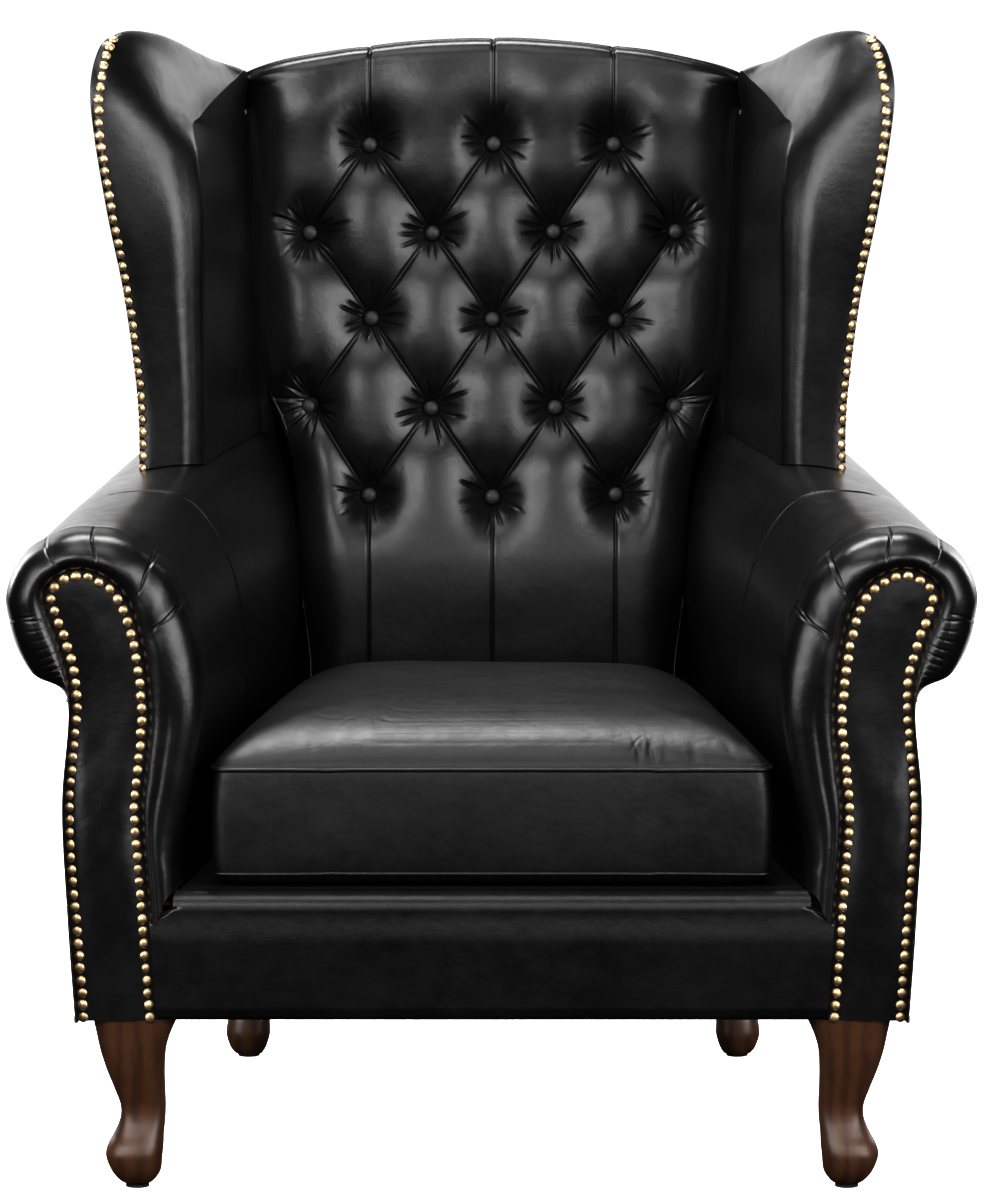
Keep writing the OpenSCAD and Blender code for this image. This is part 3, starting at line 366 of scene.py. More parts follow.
LEATHER = leather("black_leather")
SEAT_LEATHER = leather("seat_leather", rough=(0.38, 0.5), grain=1.3)
WELT = leather("leather_welt", rough=(0.3, 0.38))
# The buttons are covered in the black leather. This lighter copy of it is painted sheen that makes them read
# grey. Only its rougher polish is the leather's own.
BUTTON_PAINTED_SHEEN = leather("button_leather_painted_sheen", (0.014, 0.014, 0.015), (0.028, 0.028, 0.029), rough=(0.45, 0.55))
WALNUT = wood("dark_walnut", [(0.032, 0.012, 0.0055), (0.052, 0.021, 0.009), (0.07, 0.03, 0.0135)],
              rough=(0.38, 0.5), coat=0.12)
BRASS = metal("antique_brass", [(0.34, 0.23, 0.13), (0.74, 0.57, 0.36)], rough=(0.38, 0.52))
CLOTH = weave("lining_cloth", [(0.003, 0.003, 0.0033), (0.01, 0.01, 0.011)], pitch=0.0011)
by_slot = {
    "leather": LEATHER, "brass": BRASS, "walnut": WALNUT, "cloth": CLOTH,
    "beech": wood("bare_beech", [(0.42, 0.27, 0.14), (0.6, 0.42, 0.25), (0.68, 0.5, 0.32)],
                  rough=(0.5, 0.7), scale=0.6),
    "steel": metal("bare_steel", [(0.35, 0.35, 0.36), (0.55, 0.55, 0.57)], rough=(0.3, 0.5), size=120.0),
    "jute": weave("jute_weave", [(0.2, 0.14, 0.07), (0.5, 0.38, 0.22)], pitch=0.003),
    "zip": weave("zip_tape", [(0.006, 0.006, 0.006), (0.03, 0.03, 0.03)], pitch=0.0014, rough=0.6),
    "rubber": weave("glide_felt", [(0.01, 0.01, 0.01), (0.035, 0.033, 0.03)], pitch=0.0009),
    "foam": foam_material("upholstery_foam"),
}
slots = {s["node"]: s["material_slot"] for s in frame["record"]["subparts"]}
for name, obj in frame["nodes"].items():
    obj.data.materials.clear()
    obj.data.materials.append(by_slot[slots[name]])


def padded_grid(name, p, fill, *nodes, material=LEATHER, **options):
    """A padded leather piece from a grid, in place of nodes of the frame."""
    piece = grid_piece(name, p, material, **options)
    finish(piece, "leather", *nodes)


# Arms
arm_shares = [
    [0.669, 0], [0.705, 0.22], [0.724, 0.45], [0.695, 0.655], [0.89, 0.71], [1, 0.85],
    [0.875, 0.958], [0.575, 1], [0.25, 0.95], [0.06, 0.82], [0, 0.655], [0.055, 0.5],
    [0.138, 0.35], [0.138, 0.23], [0.127, 0]]
facing_shares = [
    [0.619, 0], [0.655, 0.22], [0.684, 0.43], [0.643, 0.66], [0.692, 0.77], [0.772, 0.865],
    [0.7, 0.904], [0.575, 0.908], [0.43, 0.866], [0.345, 0.766], [0.309, 0.628], [0.331, 0.519],
    [0.351, 0.42], [0.318, 0.236], [0.276, 0]]
band_shares = [[0, 0.27], [0.13, 0.07], [0.36, 0], [0.68, 0.16], [0.9, 0.45], [1, 1]]
inner_band_shares = [
    [0, 0.27], [0.12, 0.1], [0.24, 0.045], [0.36, 0.06], [0.5, 0.025],
    [0.67, 0.06], [0.84, 0.17], [0.95, 0.33], [1, 0.48]]
shoulder_shares = [0, 0, 0, 0, 0, 0, 0.05, 0.2, 1, 0.9, 0.4, 0.1, 0, 0, 0]
arm_rise_h = arm_h - leg_h
shoulder, nail_margin = 26.0, 5.6


def section(s):
    """Outline of the arm's leather in its cross section: distance outward and height."""
    return curve(arm_shares, s) * [arm_w, arm_rise_h] + [0, leg_h]


def nail_line(s):
    """Line of the nails on the facing."""
    return curve(facing_shares, s) * [arm_w, arm_rise_h] + [0, leg_h]


def outward(line, s):
    """Direction square to a line, away from the arm's middle."""
    way = line(s + 0.02) - line(s - 0.02)
    way /= np.maximum(np.linalg.norm(way, axis=-1, keepdims=True), 1e-9)
    return joined(way[..., 1], -way[..., 0])


def facing_edge(s):
    return nail_line(s) + nail_margin * outward(nail_line, s)


def arm_in(d):
    """Distance of the arm from the chair's middle at depth d."""
    return seat_half - taper * np.maximum(d - band_d, 0)


def lifts(s):
    """How much each place of the section takes part in the rise to the shoulder."""
    return curve(shoulder_shares, s)[..., 0]


def arm_z(z, d, s):
    growth = 1 + rise * np.maximum(d - band_d, 0) / arm_rise_h
    lift = shoulder * np.minimum(np.maximum(d - band_d, 0) / (wing_front - band_d), 1)
    return leg_h + (z - leg_h) * growth + lifts(s) * lift


def arm_point(p, d, s):
    return place(arm_in(d) + p[..., 0], d, arm_z(p[..., 1], d, s))


def arm_end(s):
    """Depth at which the arm's cover ends at the rear."""
    z = section(s)[..., 1] + lifts(s) * shoulder
    slope = rear * rise * (section(s)[..., 1] - leg_h) / arm_rise_h
    ahead = gap + (post_ahead - gap) * step(s, 6.4, 7.0)
    return (rear_y(z) - ahead - slope * band_d) / (1 - slope)


inner_s, over_s = np.linspace(7, 14, 240), np.linspace(5, 10, 240)
inner_side, over_side = section(inner_s), section(over_s)


@np.vectorize
def arm_inner(d, z):
    """Inner side of the arm at depth d and height z."""
    return arm_in(d) + np.interp(z, arm_z(inner_side[:, 1], d, inner_s)[::-1], inner_side[::-1, 0])


@np.vectorize
def arm_over(d, x):
    """Top of the arm roll at depth d and distance x from the middle."""
    return np.interp(x - arm_in(d), over_side[::-1, 0], arm_z(over_side[:, 1], d, over_s)[::-1])


fine_s = np.linspace(0, 14, 1401)
fine_run = run_along(section(fine_s))


def arc_of(s):
    """Length along the arm's section at the places s."""
    return np.interp(s, fine_s, fine_run)


# Pleats of the band: place along the section, slant, strength, spread of the two lines
pleats = [(4.75, -0.05, 0.6, 0.0), (6.15, 0.16, 0.8, 0.0), (7.12, -0.1, 0.9, 0.0),
          (8.12, -0.3, 1.0, 0.1), (8.9, -0.24, 1.0, 0.1)]
seam_d, seam_slant, band_run, pleat_mid, ridge_run = 226.0, 66, 62, 34, 66


def arm_grid(s, far_rows=34):
    """Points of the arm's cover, with the share along the band and the depth of each row."""
    t = np.linspace(0, 1, 80)
    bands, inner_bands = curve(band_shares, 5 * t), curve(inner_band_shares, 8 * t)
    turned = step(s, 8.9, 10.4)
    # The rows lie close together where the seam crosses
    near = np.concatenate([np.linspace(band_d, 205, 56)[1:], np.arange(206, 216, 3.0),
                           np.arange(217, 296, 0.8), [298, 300]])
    e, f = facing_edge(s), section(s)
    rows = []
    for q, i in zip(bands, inner_bands):
        out, back = q[0] + (i[0] - q[0]) * turned, q[1] + (i[1] - q[1]) * turned
        rows.append(arm_point(e + (f - e) * out[:, None], band_d * back, s))
    rows += [arm_point(f, np.full_like(s, d), s) for d in near]
    end = arm_end(s)
    rows += [arm_point(f, near[-1] + (end - near[-1]) * t, s) for t in np.linspace(0, 1, far_rows)[1:]]
    q = np.concatenate([bands[:, 0], np.ones(len(near) + far_rows - 1)])
    d = np.concatenate([bands[:, 1] * band_d, near, np.linspace(301, 700, far_rows - 1)])
    return np.array(rows), q, d


def arm_relief(p, s, q, d, seed):
    """How far the arm's leather stands out of its plain shape: pleats, folds and the seam."""
    r = np.random.default_rng(seed)
    arc = arc_of(s)
    q = q[:, None]
    back = np.maximum(d - band_d, 0)[:, None]
    v = band_run * np.minimum(q, 1) + back
    out = np.zeros(p.shape[:2])
    scroll = ridge(s, 3.6, 4.6, 9.4, 10.4)
    # The band swells between its pleats
    for place_s, slant, strength, spread in pleats:
        centre = arc_of(place_s + r.normal() * 0.04)
        for side in ((-1, 1) if spread else (0,)):
            line = centre + (slant + side * spread) * (v - pleat_mid) + 1.6 * np.sin(v / 9 + r.uniform(0, 6))
            env = ridge(v, 16, 30, 54, 72)
            out -= strength * 1.5 * env * cut(arc - line, 1.0 + 0.006 * v)
        env = ridge(v, 6, 26, 60, 105)
        out -= strength * 1.8 * env * bell(arc - centre - slant * (v - pleat_mid), 14)
    out += 1.8 * scroll * ridge(v, 4, 26, 62, 100)
    # Fine ribs under the outer side of the scroll
    for centre in arc_of(3.35 + 0.16 * np.arange(9)):
        env = ridge(v, 4, 12, 24 + 5 * r.uniform(), 40 + 8 * r.uniform())
        out -= r.uniform(0.2, 0.5) * env * cut(arc - centre - 0.25 * (v - 12), 1.5)
    # The ridge where the band ends and the roll begins
    out += 0.9 * scroll * bell(v - ridge_run, 5)
    # Seam across the arm
    past_seam = d[:, None] - seam_d - seam_slant * step(s, 7.2, 11.2)
    out += ridge(s, 6.6, 7.0, 10.9, 11.2) * (bell(past_seam - 1.0, 1.1) - bell(past_seam + 1.1, 0.9))
    out += 0.5 * wobble(p, 160, seed + 1)
    out *= step(v, 0, 3)
    return out


def arm_columns(a, b, count):
    """Places along the section, evenly spread along its length."""
    fine = np.linspace(a, b, 2001)
    arc = arc_of(fine)
    return np.interp(np.linspace(arc[0], arc[-1], count), arc, fine)


panel_end, cover_end, mitre_rise = 3.0, 13.15, 29
for side, mirror in SIDES:
    seed = 11 if mirror else 23
    s = arm_columns(panel_end, cover_end, 760)
    p, q, d = arm_grid(s)
    p, flip = raised(p, arm_relief(p, s, q, d, seed), 100, 300, [0, 0, 1])
    # The lower end of the band is cut along the border's mitre
    p[..., 2] += mitre_rise * np.outer(step(q, 0.1, 0.9) * (d < 60), step(s, 12.2, cover_end))
    padded_grid("arm_leather_" + side, p, 0.8, "arm_cover_" + side, "arm_pad_" + side,
                flip=flip, mirror=mirror)

    s = arm_columns(0.0, panel_end, 150)
    p, _, d = arm_grid(s, 60)
    puff = np.outer(step(d, 40, 120), 1.6 * ridge(s, 0, 0.5, 2.5, panel_end))
    puff += 0.5 * wobble(p, 220, seed + 2) * step(d, 5, 30)[:, None]
    p, flip = raised(p, puff, 100, 75, [1, 0, 0])
    padded_grid("outside_arm_leather_" + side, p, 0.6, "outside_arm_" + side,
                flip=flip, mirror=mirror, hem=1.2)

    # Facing: a thin pad between the two nail lines
    t = np.linspace(0, 1, 260)
    left, right = facing_edge(7 * t), facing_edge(14 - 7 * t)
    u = np.concatenate([[0, 0.004], np.linspace(0.02, 0.98, 70), [0.996, 1]])[None, :, None]
    flat = left[:, None] + (right - left)[:, None] * u
    edge = np.concatenate([left, right[::-1]])
    away = np.minimum.reduce([np.linalg.norm(flat - q, axis=-1) for q in edge[::2]])
    high = flat[..., 1]
    full = 2.6 + 9.0 * ridge(high, 200, 340, 345, 490)
    puff = full * (1 - fade(np.maximum(away - 6.5, 0), 17))
    wave = wobble(joined(flat[..., 0], 0.6 * high, 0), 70, seed + 3)
    depth = facing_y - 0.4 - puff - 1.1 * wave * step(away, 8, 26)
    p = place(seat_half + flat[..., 0], depth, flat[..., 1])
    padded_grid("facing_leather_" + side, p, 0.5, "arm_facing_" + side, flip=True, mirror=mirror)


# Nails
def turned(profile, sides, tip, rim=0.0, phase=0):
    """Points and faces of a turned cap with a pleated rim, its tip along Z."""
    a = 2 * math.pi * np.arange(sides) / sides
    rings = []
    for r, high in profile:
        radius = r * (1 + (rim * np.sin(9 * a + phase) if r > 0.9 else 0))
        rings.append(joined(radius * np.cos(a), radius * np.sin(a), high))
    top = (len(profile) - 1) * sides
    faces = grid_faces(len(profile), sides, wrap=True)
    faces += [[top + k, top + (k + 1) % sides, top + sides] for k in range(sides)]
    return np.concatenate(rings + [[[0, 0, tip]]]), faces


def moved(faces, by):
    return [[i + by for i in f] for f in faces]


nail_profile = [(1.08, 0.0), (1.1, 0.1), (1.0, 0.26), (0.8, 0.43), (0.52, 0.55), (0.24, 0.61)]


def nail_row(kind, side, mirror, places, ways, seed):
    """Nail heads at the places, each facing along its way, none quite like the next."""
    r = np.random.default_rng(seed)
    unit_verts, unit_faces = turned(nail_profile, 12, 0.63)
    verts, faces = [], []
    for at, way in zip(places, ways):
        z = np.asarray(way) + r.normal(size=3) * 0.07
        z /= np.linalg.norm(z)
        x = np.cross([0.1, 0.2, 1], z)
        x /= np.linalg.norm(x)
        y = np.cross(z, x)
        size = nail_d / 2 * r.uniform(0.97, 1.06)
        stretch = [size * r.uniform(0.95, 1.04), size * r.uniform(0.95, 1.04), size * r.uniform(0.85, 1.1)]
        local = unit_verts * stretch @ np.array([x, y, z]) + at + r.normal(size=3) * [0.25, 0.05, 0.25]
        faces += moved(unit_faces, len(verts) * len(unit_verts))
        verts.append(local)
    v = np.concatenate(verts)
    if mirror:
        v[:, 0] *= -1
        faces = [f[::-1] for f in faces]
    finish(mesh_piece(kind + "_nail_heads_" + side, v, faces, BRASS), "brass", kind + "_nails_" + side)


def paced(points, pitch):
    """Places a pitch apart along a fine path."""
    run = run_along(points)
    count = int(run[-1] // pitch)
    at = (run[-1] - count * pitch) / 2 + pitch * np.arange(count + 1)
    return joined(*(np.interp(at, run, points[:, k]) for k in range(points.shape[1])))


nail_bed = 0.3
for side, mirror in SIDES:
    line = paced(nail_line(np.linspace(0, 14, 1500)), nail_pitch)
    at = place(seat_half + line[:, 0], facing_y - nail_bed, line[:, 1])
    nail_row("facing", side, mirror, at, [(0, -1, 0)] * len(at), 5 + mirror)


# Wings
edge_shares = [
    [0.664, 0.038, 0], [0.675, 0.038, 0.16], [0.761, 0.022, 0.39], [0.877, 0.007, 0.58],
    [0.966, 0.007, 0.75], [1, 0.022, 0.86], [0.963, 0.056, 0.937], [0.88, 0.11, 0.975],
    [0.731, 0.233, 0.96], [0.53, 0.478, 0.895], [0.38, 0.7, 0.84], [0.343, 1, 0.8]]
crease_shares = [
    [0.194, 0.078, 0.016], [0.194, 0.078, 0.16], [0.194, 0.078, 0.39], [0.187, 0.082, 0.575],
    [0.224, 0.11, 0.7], [0.282, 0.144, 0.773], [0.239, 0.233, 0.79], [0.18, 0.344, 0.812],
    [0.105, 0.477, 0.835], [0.03, 0.588, 0.855], [-0.035, 0.69, 0.868], [-0.04, 1, 0.8]]
roll_shares_up = [1, 1, 1, 1, 1, 1, 1.1, 1.25, 1.2, 0.8, 0.45, 0.32]
junction_shares = [0, 0.16, 0.39, 0.575, 0.65, 0.68, 0.7, 0.72, 0.74, 0.76, 0.775, 0.75]
post_shares = [0, 0.14, 0.33, 0.48, 0.6, 0.66, 0.7, 0.73, 0.75, 0.765, 0.775, 0.78]
crest_turn = [0, 0, 0, 0, 8, 25, 55, 80, 95, 100, 100, 90]
roll_shares = [[0, 0], [0.14, 0.6], [0.38, 0.98], [0.62, 0.95], [0.84, 0.55], [1, 0]]
roll_h, side_fall, wing_root = 20.0, 14.0, 20.0
wing_foot = arm_h + wing_root
wing_d = rear_y(wing_foot) - wing_front


def wing_at(q):
    """Shares of the wing's reach, depth and rise as a point."""
    return q * [wing_reach, wing_d, wing_rise] + [back_w / 2, wing_front, wing_foot]


def junction_x(z):
    """Half the inside back's width at a height."""
    return (back_foot_w + (back_w - back_foot_w)
            * np.clip((z - wing_foot) / (back_h - back_arch - wing_foot), 0, 1)) / 2


def wing_base(t):
    """Rows of the wing at the places t: edge, crease and junction points, and the crest's direction."""
    edge, crease = wing_at(curve(edge_shares, t)), wing_at(curve(crease_shares, t))
    z = wing_foot + wing_rise * curve(junction_shares, t)[..., 0]
    junction = joined(junction_x(z), back_y(z) + side_fall, z)
    turn = np.radians(curve(crest_turn, t)[..., 0])
    return edge, crease, junction, joined(0, -np.cos(turn), np.sin(turn))


def settle(p, t, rise_by=1.2):
    """Sets the foot of a grid on the arm, and its last row on the outside back. Points are x, depth, z."""
    foot = arm_over(p[0, :, 1], p[0, :, 0]) + rise_by - p[0, :, 2]
    p[..., 2] += np.outer(1 - step(t, 0, 1.0), foot)
    p[..., 1] = np.minimum(p[..., 1], rear_y(p[..., 2]) - gap)
    p[..., 1] += step(t, 10.6, 11.0)[:, None] * (rear_y(p[..., 2]) - gap - p[..., 1])
    return place(*np.moveaxis(p, -1, 0))


roll_end = 0.5
flat_roll_shares = [[0, 0], [0.08, 0.42], [0.3, 0.76], [0.65, 1.04], [0.85, 0.84], [1, roll_end]]
tuck_in, tuck_back, panel_sunk, short = 14.0, 26.0, 0.8, 0.001


def wing_surface(t, columns):
    """The wing's padded face from its nailed edge over the roll to the inside back and behind it."""
    edge, crease, junction, crest = wing_base(t)
    crest = crest * roll_h * curve(roll_shares_up, t)
    roll = columns[columns <= 4] * 5 / 4
    upright = (1 - step(t, 4.0, 5.4))[:, None, None]
    shape = curve(roll_shares, roll)
    shape = shape + (curve(flat_roll_shares, roll) - shape) * upright
    a = edge[:, None] + (crease - edge)[:, None] * shape[..., :1] + shape[..., 1:] * crest[:, None]
    inner = np.minimum(columns[columns > 4] - 4, 1)[None, :, None]
    b = crease[:, None] + (junction - crease)[:, None] * inner
    b = b + crest[:, None] * roll_end * upright * (1 - step(inner, 0, 0.3))
    behind = np.maximum(columns[columns > 4] - 5, 0)[None, :, None]
    return np.concatenate([a, b + behind * [-tuck_in, tuck_back, 0.0]], axis=1)


for side, mirror in SIDES:
    seed = 41 if mirror else 53
    t = np.linspace(0, 11, 420)
    columns = np.concatenate([np.linspace(0, 1, 40), np.linspace(1, 4, 90)[1:],
                              4 + np.linspace(0, 1, 90)[1:], 5 + np.linspace(0, 1, 8)[1:]])
    p = wing_surface(t, columns)
    # Soften the corner at the crease in the upright part of the wing, where the leather is one sweep
    blend = (1 - step(t, 4.3, 5.1))[:, None, None]
    near = bell(np.arange(len(columns)) - np.searchsorted(columns, 4.0), 26)[None, :, None]
    p = p + (relaxed(p.swapaxes(0, 1), 45).swapaxes(0, 1) - p) * blend * near
    # The inner face is even from the arm up to the crest
    upper = ridge(t, 2.5, 4.5, 8, 10)[:, None, None]
    p = p + (relaxed(p, 500) - p) * (step(columns, 4.05, 4.4)[None, :, None] * upper)
    p = settle(p, t)
    relief = 0.8 * wobble(p * [1, 1, 0.5], 150, seed) * step(columns, 0.4, 1.5)
    p, flip = raised(p, relief, 100, 70, [0, -1, 0])
    padded_grid("wing_leather_" + side, p, 0.8, "wing_cover_" + side, "wing_pad_" + side,
                flip=flip, mirror=mirror)

    # Outside panel from the nailed edge to the outside back
    t = np.linspace(0, 10.8, 260)
    edge = wing_base(t)[0]
    z = wing_foot + wing_rise * curve(post_shares, t)[..., 0]
    post = joined(rear_w / 2, rear_y(z) - gap, z)
    share = np.linspace(0, 1, 70)
    panel = settle(edge[:, None] + (post - edge)[:, None] * share[None, :, None], t)
    puff = np.outer(step(t, 0, 1), 3.2 * np.sin(math.pi * share)) + 0.6 * wobble(panel, 240, seed + 1)
    puff *= ridge(share, 0, 0.06, 0.94, 1)
    panel, flip = raised(panel, puff - panel_sunk, 100, 30, [1, 0, 0])
    padded_grid("outside_wing_leather_" + side, panel, 0.5, "outside_wing_" + side,
                flip=flip, mirror=mirror, hem=1.2)

    # Nails on the front edge. Their directions ride along with the places, too short to change the pace
    t = np.linspace(0.08, 6.6, 1500)
    near = settle(wing_surface(t, np.array([0.6, 0.64, 0.68])), t)
    way = np.cross(np.gradient(near[:, 1], axis=0), near[:, 2] - near[:, 0])
    way *= -np.sign(way[:, 1:2]) / np.linalg.norm(way, axis=-1, keepdims=True)
    both = paced(np.concatenate([near[:, 1], way * short], axis=1), nail_pitch)
    nail_row("wing", side, mirror, both[:, :3], both[:, 3:] / short, 15 + mirror)


# Inside back
jitter = np.random.default_rng(3)
buttons = []
for r in range(5):
    # Rows of three and of four buttons take turns
    for k in ((-2, 0, 2), (-3, -1, 1, 3))[r % 2]:
        x = k * tuft_w / 2 + jitter.uniform(-1.5, 1.5)
        buttons.append((r, k, x, back_h - tuft_top - r * tuft_row + jitter.uniform(-1.5, 1.5)))
sink = (tuft_depth + 2) * math.sin(lean_angle)
at_button = {(r, k): np.array([x, z + sink]) for r, k, x, z in buttons}
creases = [(at_button[r, k], at_button[r + 1, k + s]) for r, k, _, _ in buttons for s in (-1, 1)
           if (r + 1, k + s) in at_button]
# Long pleats run from the top row over the crest, a little inward, and from the lowest row down
far_up, inward, crease_depth, wrinkle_reach = 1300.0, 0.99, 13.0, 70
long_top = [(at_button[0, k], np.array([at_button[0, k][0] * inward, far_up])) for k in (-2, 0, 2)]
long_foot = [(at_button[4, k], np.array([at_button[4, k][0], 0.0])) for k in (-2, 0, 2)]


def to_segment(x, z, a, b):
    """Distance of points to the segment from a to b."""
    v = b - a
    t = np.clip(((x - a[0]) * v[0] + (z - a[1]) * v[1]) / (v @ v), 0, 1)
    return np.hypot(x - a[0] - t * v[0], z - a[1] - t * v[1])


def tufting(x, z):
    """How deep the leather is drawn in at width x and height z of the unrolled back."""
    reaches = [np.hypot(x - bx, z - bz - sink) for _, _, bx, bz in buttons]
    aways = [np.sqrt(to_segment(x, z, a, b) ** 2 + 0.3) for a, b in creases]
    near, line = np.minimum.reduce(reaches), np.minimum.reduce(aways)
    plain, funnel = np.ones(x.shape), np.ones(x.shape)
    for reach in reaches:
        funnel *= 1 - 0.999 * fade(np.maximum(reach - 6, 0), 13, 1.1)
    for away in aways:
        plain *= 1 - 0.97 * fade(away, 20, 1.15)
    narrow = (3.0 + 2.5 * fade(near, 16)) * fade(line, 1.5, 1.4)
    broad = crease_depth * (1 - plain)
    tall, lap = np.full(x.shape, 1e9), np.zeros(x.shape)
    for a, b in long_top + long_foot:
        tall = np.minimum(tall, to_segment(x, z, a, b))
        beside = x - a[0] - (b[0] - a[0]) * np.clip((z - a[1]) / (b[1] - a[1]), 0, 1)
        along = step((z - a[1]) * (1 if b[1] > a[1] else -1), 14, 34)
        lap += 1.2 * along * (beside > -4) * step(beside, -0.5, 0.5) * fade(np.maximum(beside, 0), 9)
    tall = np.sqrt(tall**2 + 0.25)
    narrow = np.maximum(narrow, (2.4 + 3 * fade(near, 18)) * fade(tall, 1.4, 1.4))
    pleat = (1.6 + 4 * fade(near, 20)) * fade(tall, 17, 1.3)
    full = tuft_depth + 2
    return full * (1 - funnel * (1 - broad / full) * (1 - pleat / full)) + narrow * funnel - lap


def wrinkled(drawn, x, z):
    """The drawn-in depth with wrinkles that run out of each button."""
    r = np.random.default_rng(17)
    for row, k, bx, bz in buttons:
        dx, dz = x - bx, z - bz - sink
        reach = np.hypot(dx, dz)
        inside = reach < wrinkle_reach
        angle = np.arctan2(dz, dx)
        outer = abs(k) == 3
        main = [math.atan2(tuft_row * s, tuft_w / 2 * q) for s in (-1, 1) for q in (-1, 1)]
        count = 19 if outer else 15
        for j in range(count):
            way = 2 * math.pi * (j + r.uniform(-0.3, 0.3)) / count
            if min(abs(math.remainder(way - m, 2 * math.pi)) for m in main) < 0.16 and not outer:
                continue
            sideways = abs(math.cos(way))
            long = r.uniform(28, 46) + (14 * r.uniform() if outer and math.cos(way) * k > 0 else 0)
            deep = r.uniform(1.0, 2.4) * (0.55 + 0.75 * sideways)
            turn = np.remainder(angle - way + math.pi, 2 * math.pi) - math.pi
            side = reach * turn + 0.006 * r.uniform(-1, 1) * reach**2
            env = ridge(reach, 8, 15, 0.5 * long, long) * (np.abs(turn) < 1)
            drawn = drawn + inside * deep * env * cut(side, 0.8 + 0.03 * reach)
    return drawn


rows_face, rows_top = 800, 90
columns_in = np.linspace(-1, 1, 560)
edge_turn = np.concatenate([np.linspace(0, 1, 60)[1:], [1.2, 1.5, 2.0]])
side_roll, side_extra, side_bend = 62.0, 12, 2.7
hidden_out, hidden_fall = 13, 40
probe = np.linspace(deck_h - 40, back_h + 40, 260)
half_probe = np.minimum.reduce([arm_inner(back_y(probe) + side_fall, probe + s * 24) for s in (-1, 0, 1)]
                               + [junction_x(probe)]) - 0.6
half_probe = np.min([np.roll(np.pad(half_probe, 8, mode="edge"), k)[8:-8] for k in range(-8, 9)], axis=0)
for _ in range(3):
    half_probe = np.convolve(np.pad(half_probe, 5, mode="edge"), np.ones(11) / 11, mode="valid")


def back_half(z):
    """Half width of the inside back's leather at a height, just clear of the arms and wings."""
    return np.interp(z, probe, half_probe)


def crest_z(x):
    """Height of the arched crest at a distance from the middle."""
    return back_h - back_arch * (x / (back_w / 2)) ** 2


def back_columns(half):
    """Width and fall of each column for a half width."""
    mid = (half - side_roll)[..., None] * columns_in
    hidden = np.maximum(edge_turn - 1, 0)
    turn = side_roll * np.minimum(edge_turn, 1) + hidden_out * hidden
    right = (half - side_roll)[..., None] + turn
    fall = (side_fall + side_extra) * np.minimum(edge_turn, 1) ** side_bend + hidden_fall * hidden
    x = np.concatenate([-right[..., ::-1], mid, right], axis=-1)
    f = np.concatenate([fall[::-1], np.zeros(len(columns_in)), fall])
    return x, f


crest_roll, crest_end, crest_ease = 16.0, 26.3, 0.2
top_profile = np.array([[1.2, 0], [0.62, 0.12], [0.2, 0.42], [0.01, 1.05], [0.05, 2.2]]) * crest_roll
x_top, fall_top = back_columns(back_half(np.array([back_h - back_arch - 40.0])))
x_top = x_top[0]
z_top = crest_z(x_top) - top_profile[0, 0]
z_low, lumbar_in = deck_h + 1.5, 26.0
rows, unrolled = [], []
for w in np.linspace(0, 1, rows_face):
    z = z_low + (z_top - z_low) * w
    x, fall = back_columns(back_half(np.array([z.mean()])))
    to_top = step(w, 0.93, 1.0)
    x = x[0] * (1 - to_top) + x_top * to_top
    rows.append(place(x, back_y(z) + fall, z))
    unrolled.append(joined(x, z))
rear_end = rear_y(crest_z(x_top) - crest_end) - gap - back_y(z_top)
ends = joined(crest_end, rear_end)
pts = [np.broadcast_to(q, ends.shape) for q in top_profile] + [ends]
length = np.zeros_like(x_top)
last = rows[-1]
for w in np.linspace(0, 5, rows_top)[1:]:
    i = min(int(w), 4)
    q = between(pts[max(i - 1, 0)], pts[i], pts[i + 1], pts[min(i + 2, 5)], w - i)
    back = fall_top * (1 - crest_ease * min(w, 1)) * (1 - step(w, 1.5, 5))
    row = place(x_top, back_y(z_top) + q[:, 1] + back,
                crest_z(x_top) - q[:, 0] - fall_top * crest_ease * min(w, 2) / 2)
    length = length + np.linalg.norm(row - last, axis=-1)
    rows.append(row)
    unrolled.append(joined(x_top, z_top + length))
    last = row
base = np.array(rows)
flat = np.array(unrolled)
drawn = wrinkled(tufting(flat[..., 0], flat[..., 1]), flat[..., 0], flat[..., 1])
# The pleats fade behind the crest, and the sides and the foot stay at the edge of their neighbours
over_crest = flat[..., 1] - z_top
drawn = drawn * (1 - step(over_crest, 60, 110))
drawn -= 1.2 * wobble(base * [1, 1, 0.6], 120, 9)
# Between the seams the leather bulges under the crest
bulge, bulge_w, bulge_h, bulge_under = 5.0, 42, 34, 32
for centre in (-1.45, -0.5, 0.5, 1.45):
    drawn -= bulge * bell(flat[..., 0] - centre * tuft_w, bulge_w) * bell(over_crest + bulge_under, bulge_h)
side_x = base[..., 0].max(axis=1)[:, None]
edge_in = 1 - step(np.abs(flat[..., 0]), side_x - 22, side_x)
drawn = drawn * (0.25 + 0.75 * edge_in) + lumbar_in * (1 - step(flat[..., 1], 350, 535))
base, flip = raised(base, -drawn, 400, 300, [0, -1, 0])
padded_grid("inside_back_leather", base, 0.9, "inside_back_cover", "back_pad", flip=flip)


# Covered buttons
lean_way = np.array([0, -math.cos(lean_angle), math.sin(lean_angle)])
button_ways = np.array([[1.0, 0, 0], np.cross(lean_way, [1.0, 0, 0]), lean_way])
profile = [(0.96, -0.5), (0.95, -0.05), (0.9, 0.14), (0.76, 0.3), (0.56, 0.4), (0.32, 0.46), (0.12, 0.48)]
verts, faces = [], []
for row, k, bx, bz in buttons:
    unit_verts, unit_faces = turned(profile, 28, 0.485, 0.02, row)
    faces += moved(unit_faces, len(verts))
    verts += list(button_d / 2 * unit_verts @ button_ways + place(bx, back_y(bz) + tuft_depth - 1.2, bz))
finish(mesh_piece("covered_buttons", verts, faces, BUTTON_PAINTED_SHEEN), "leather", "back_buttons")


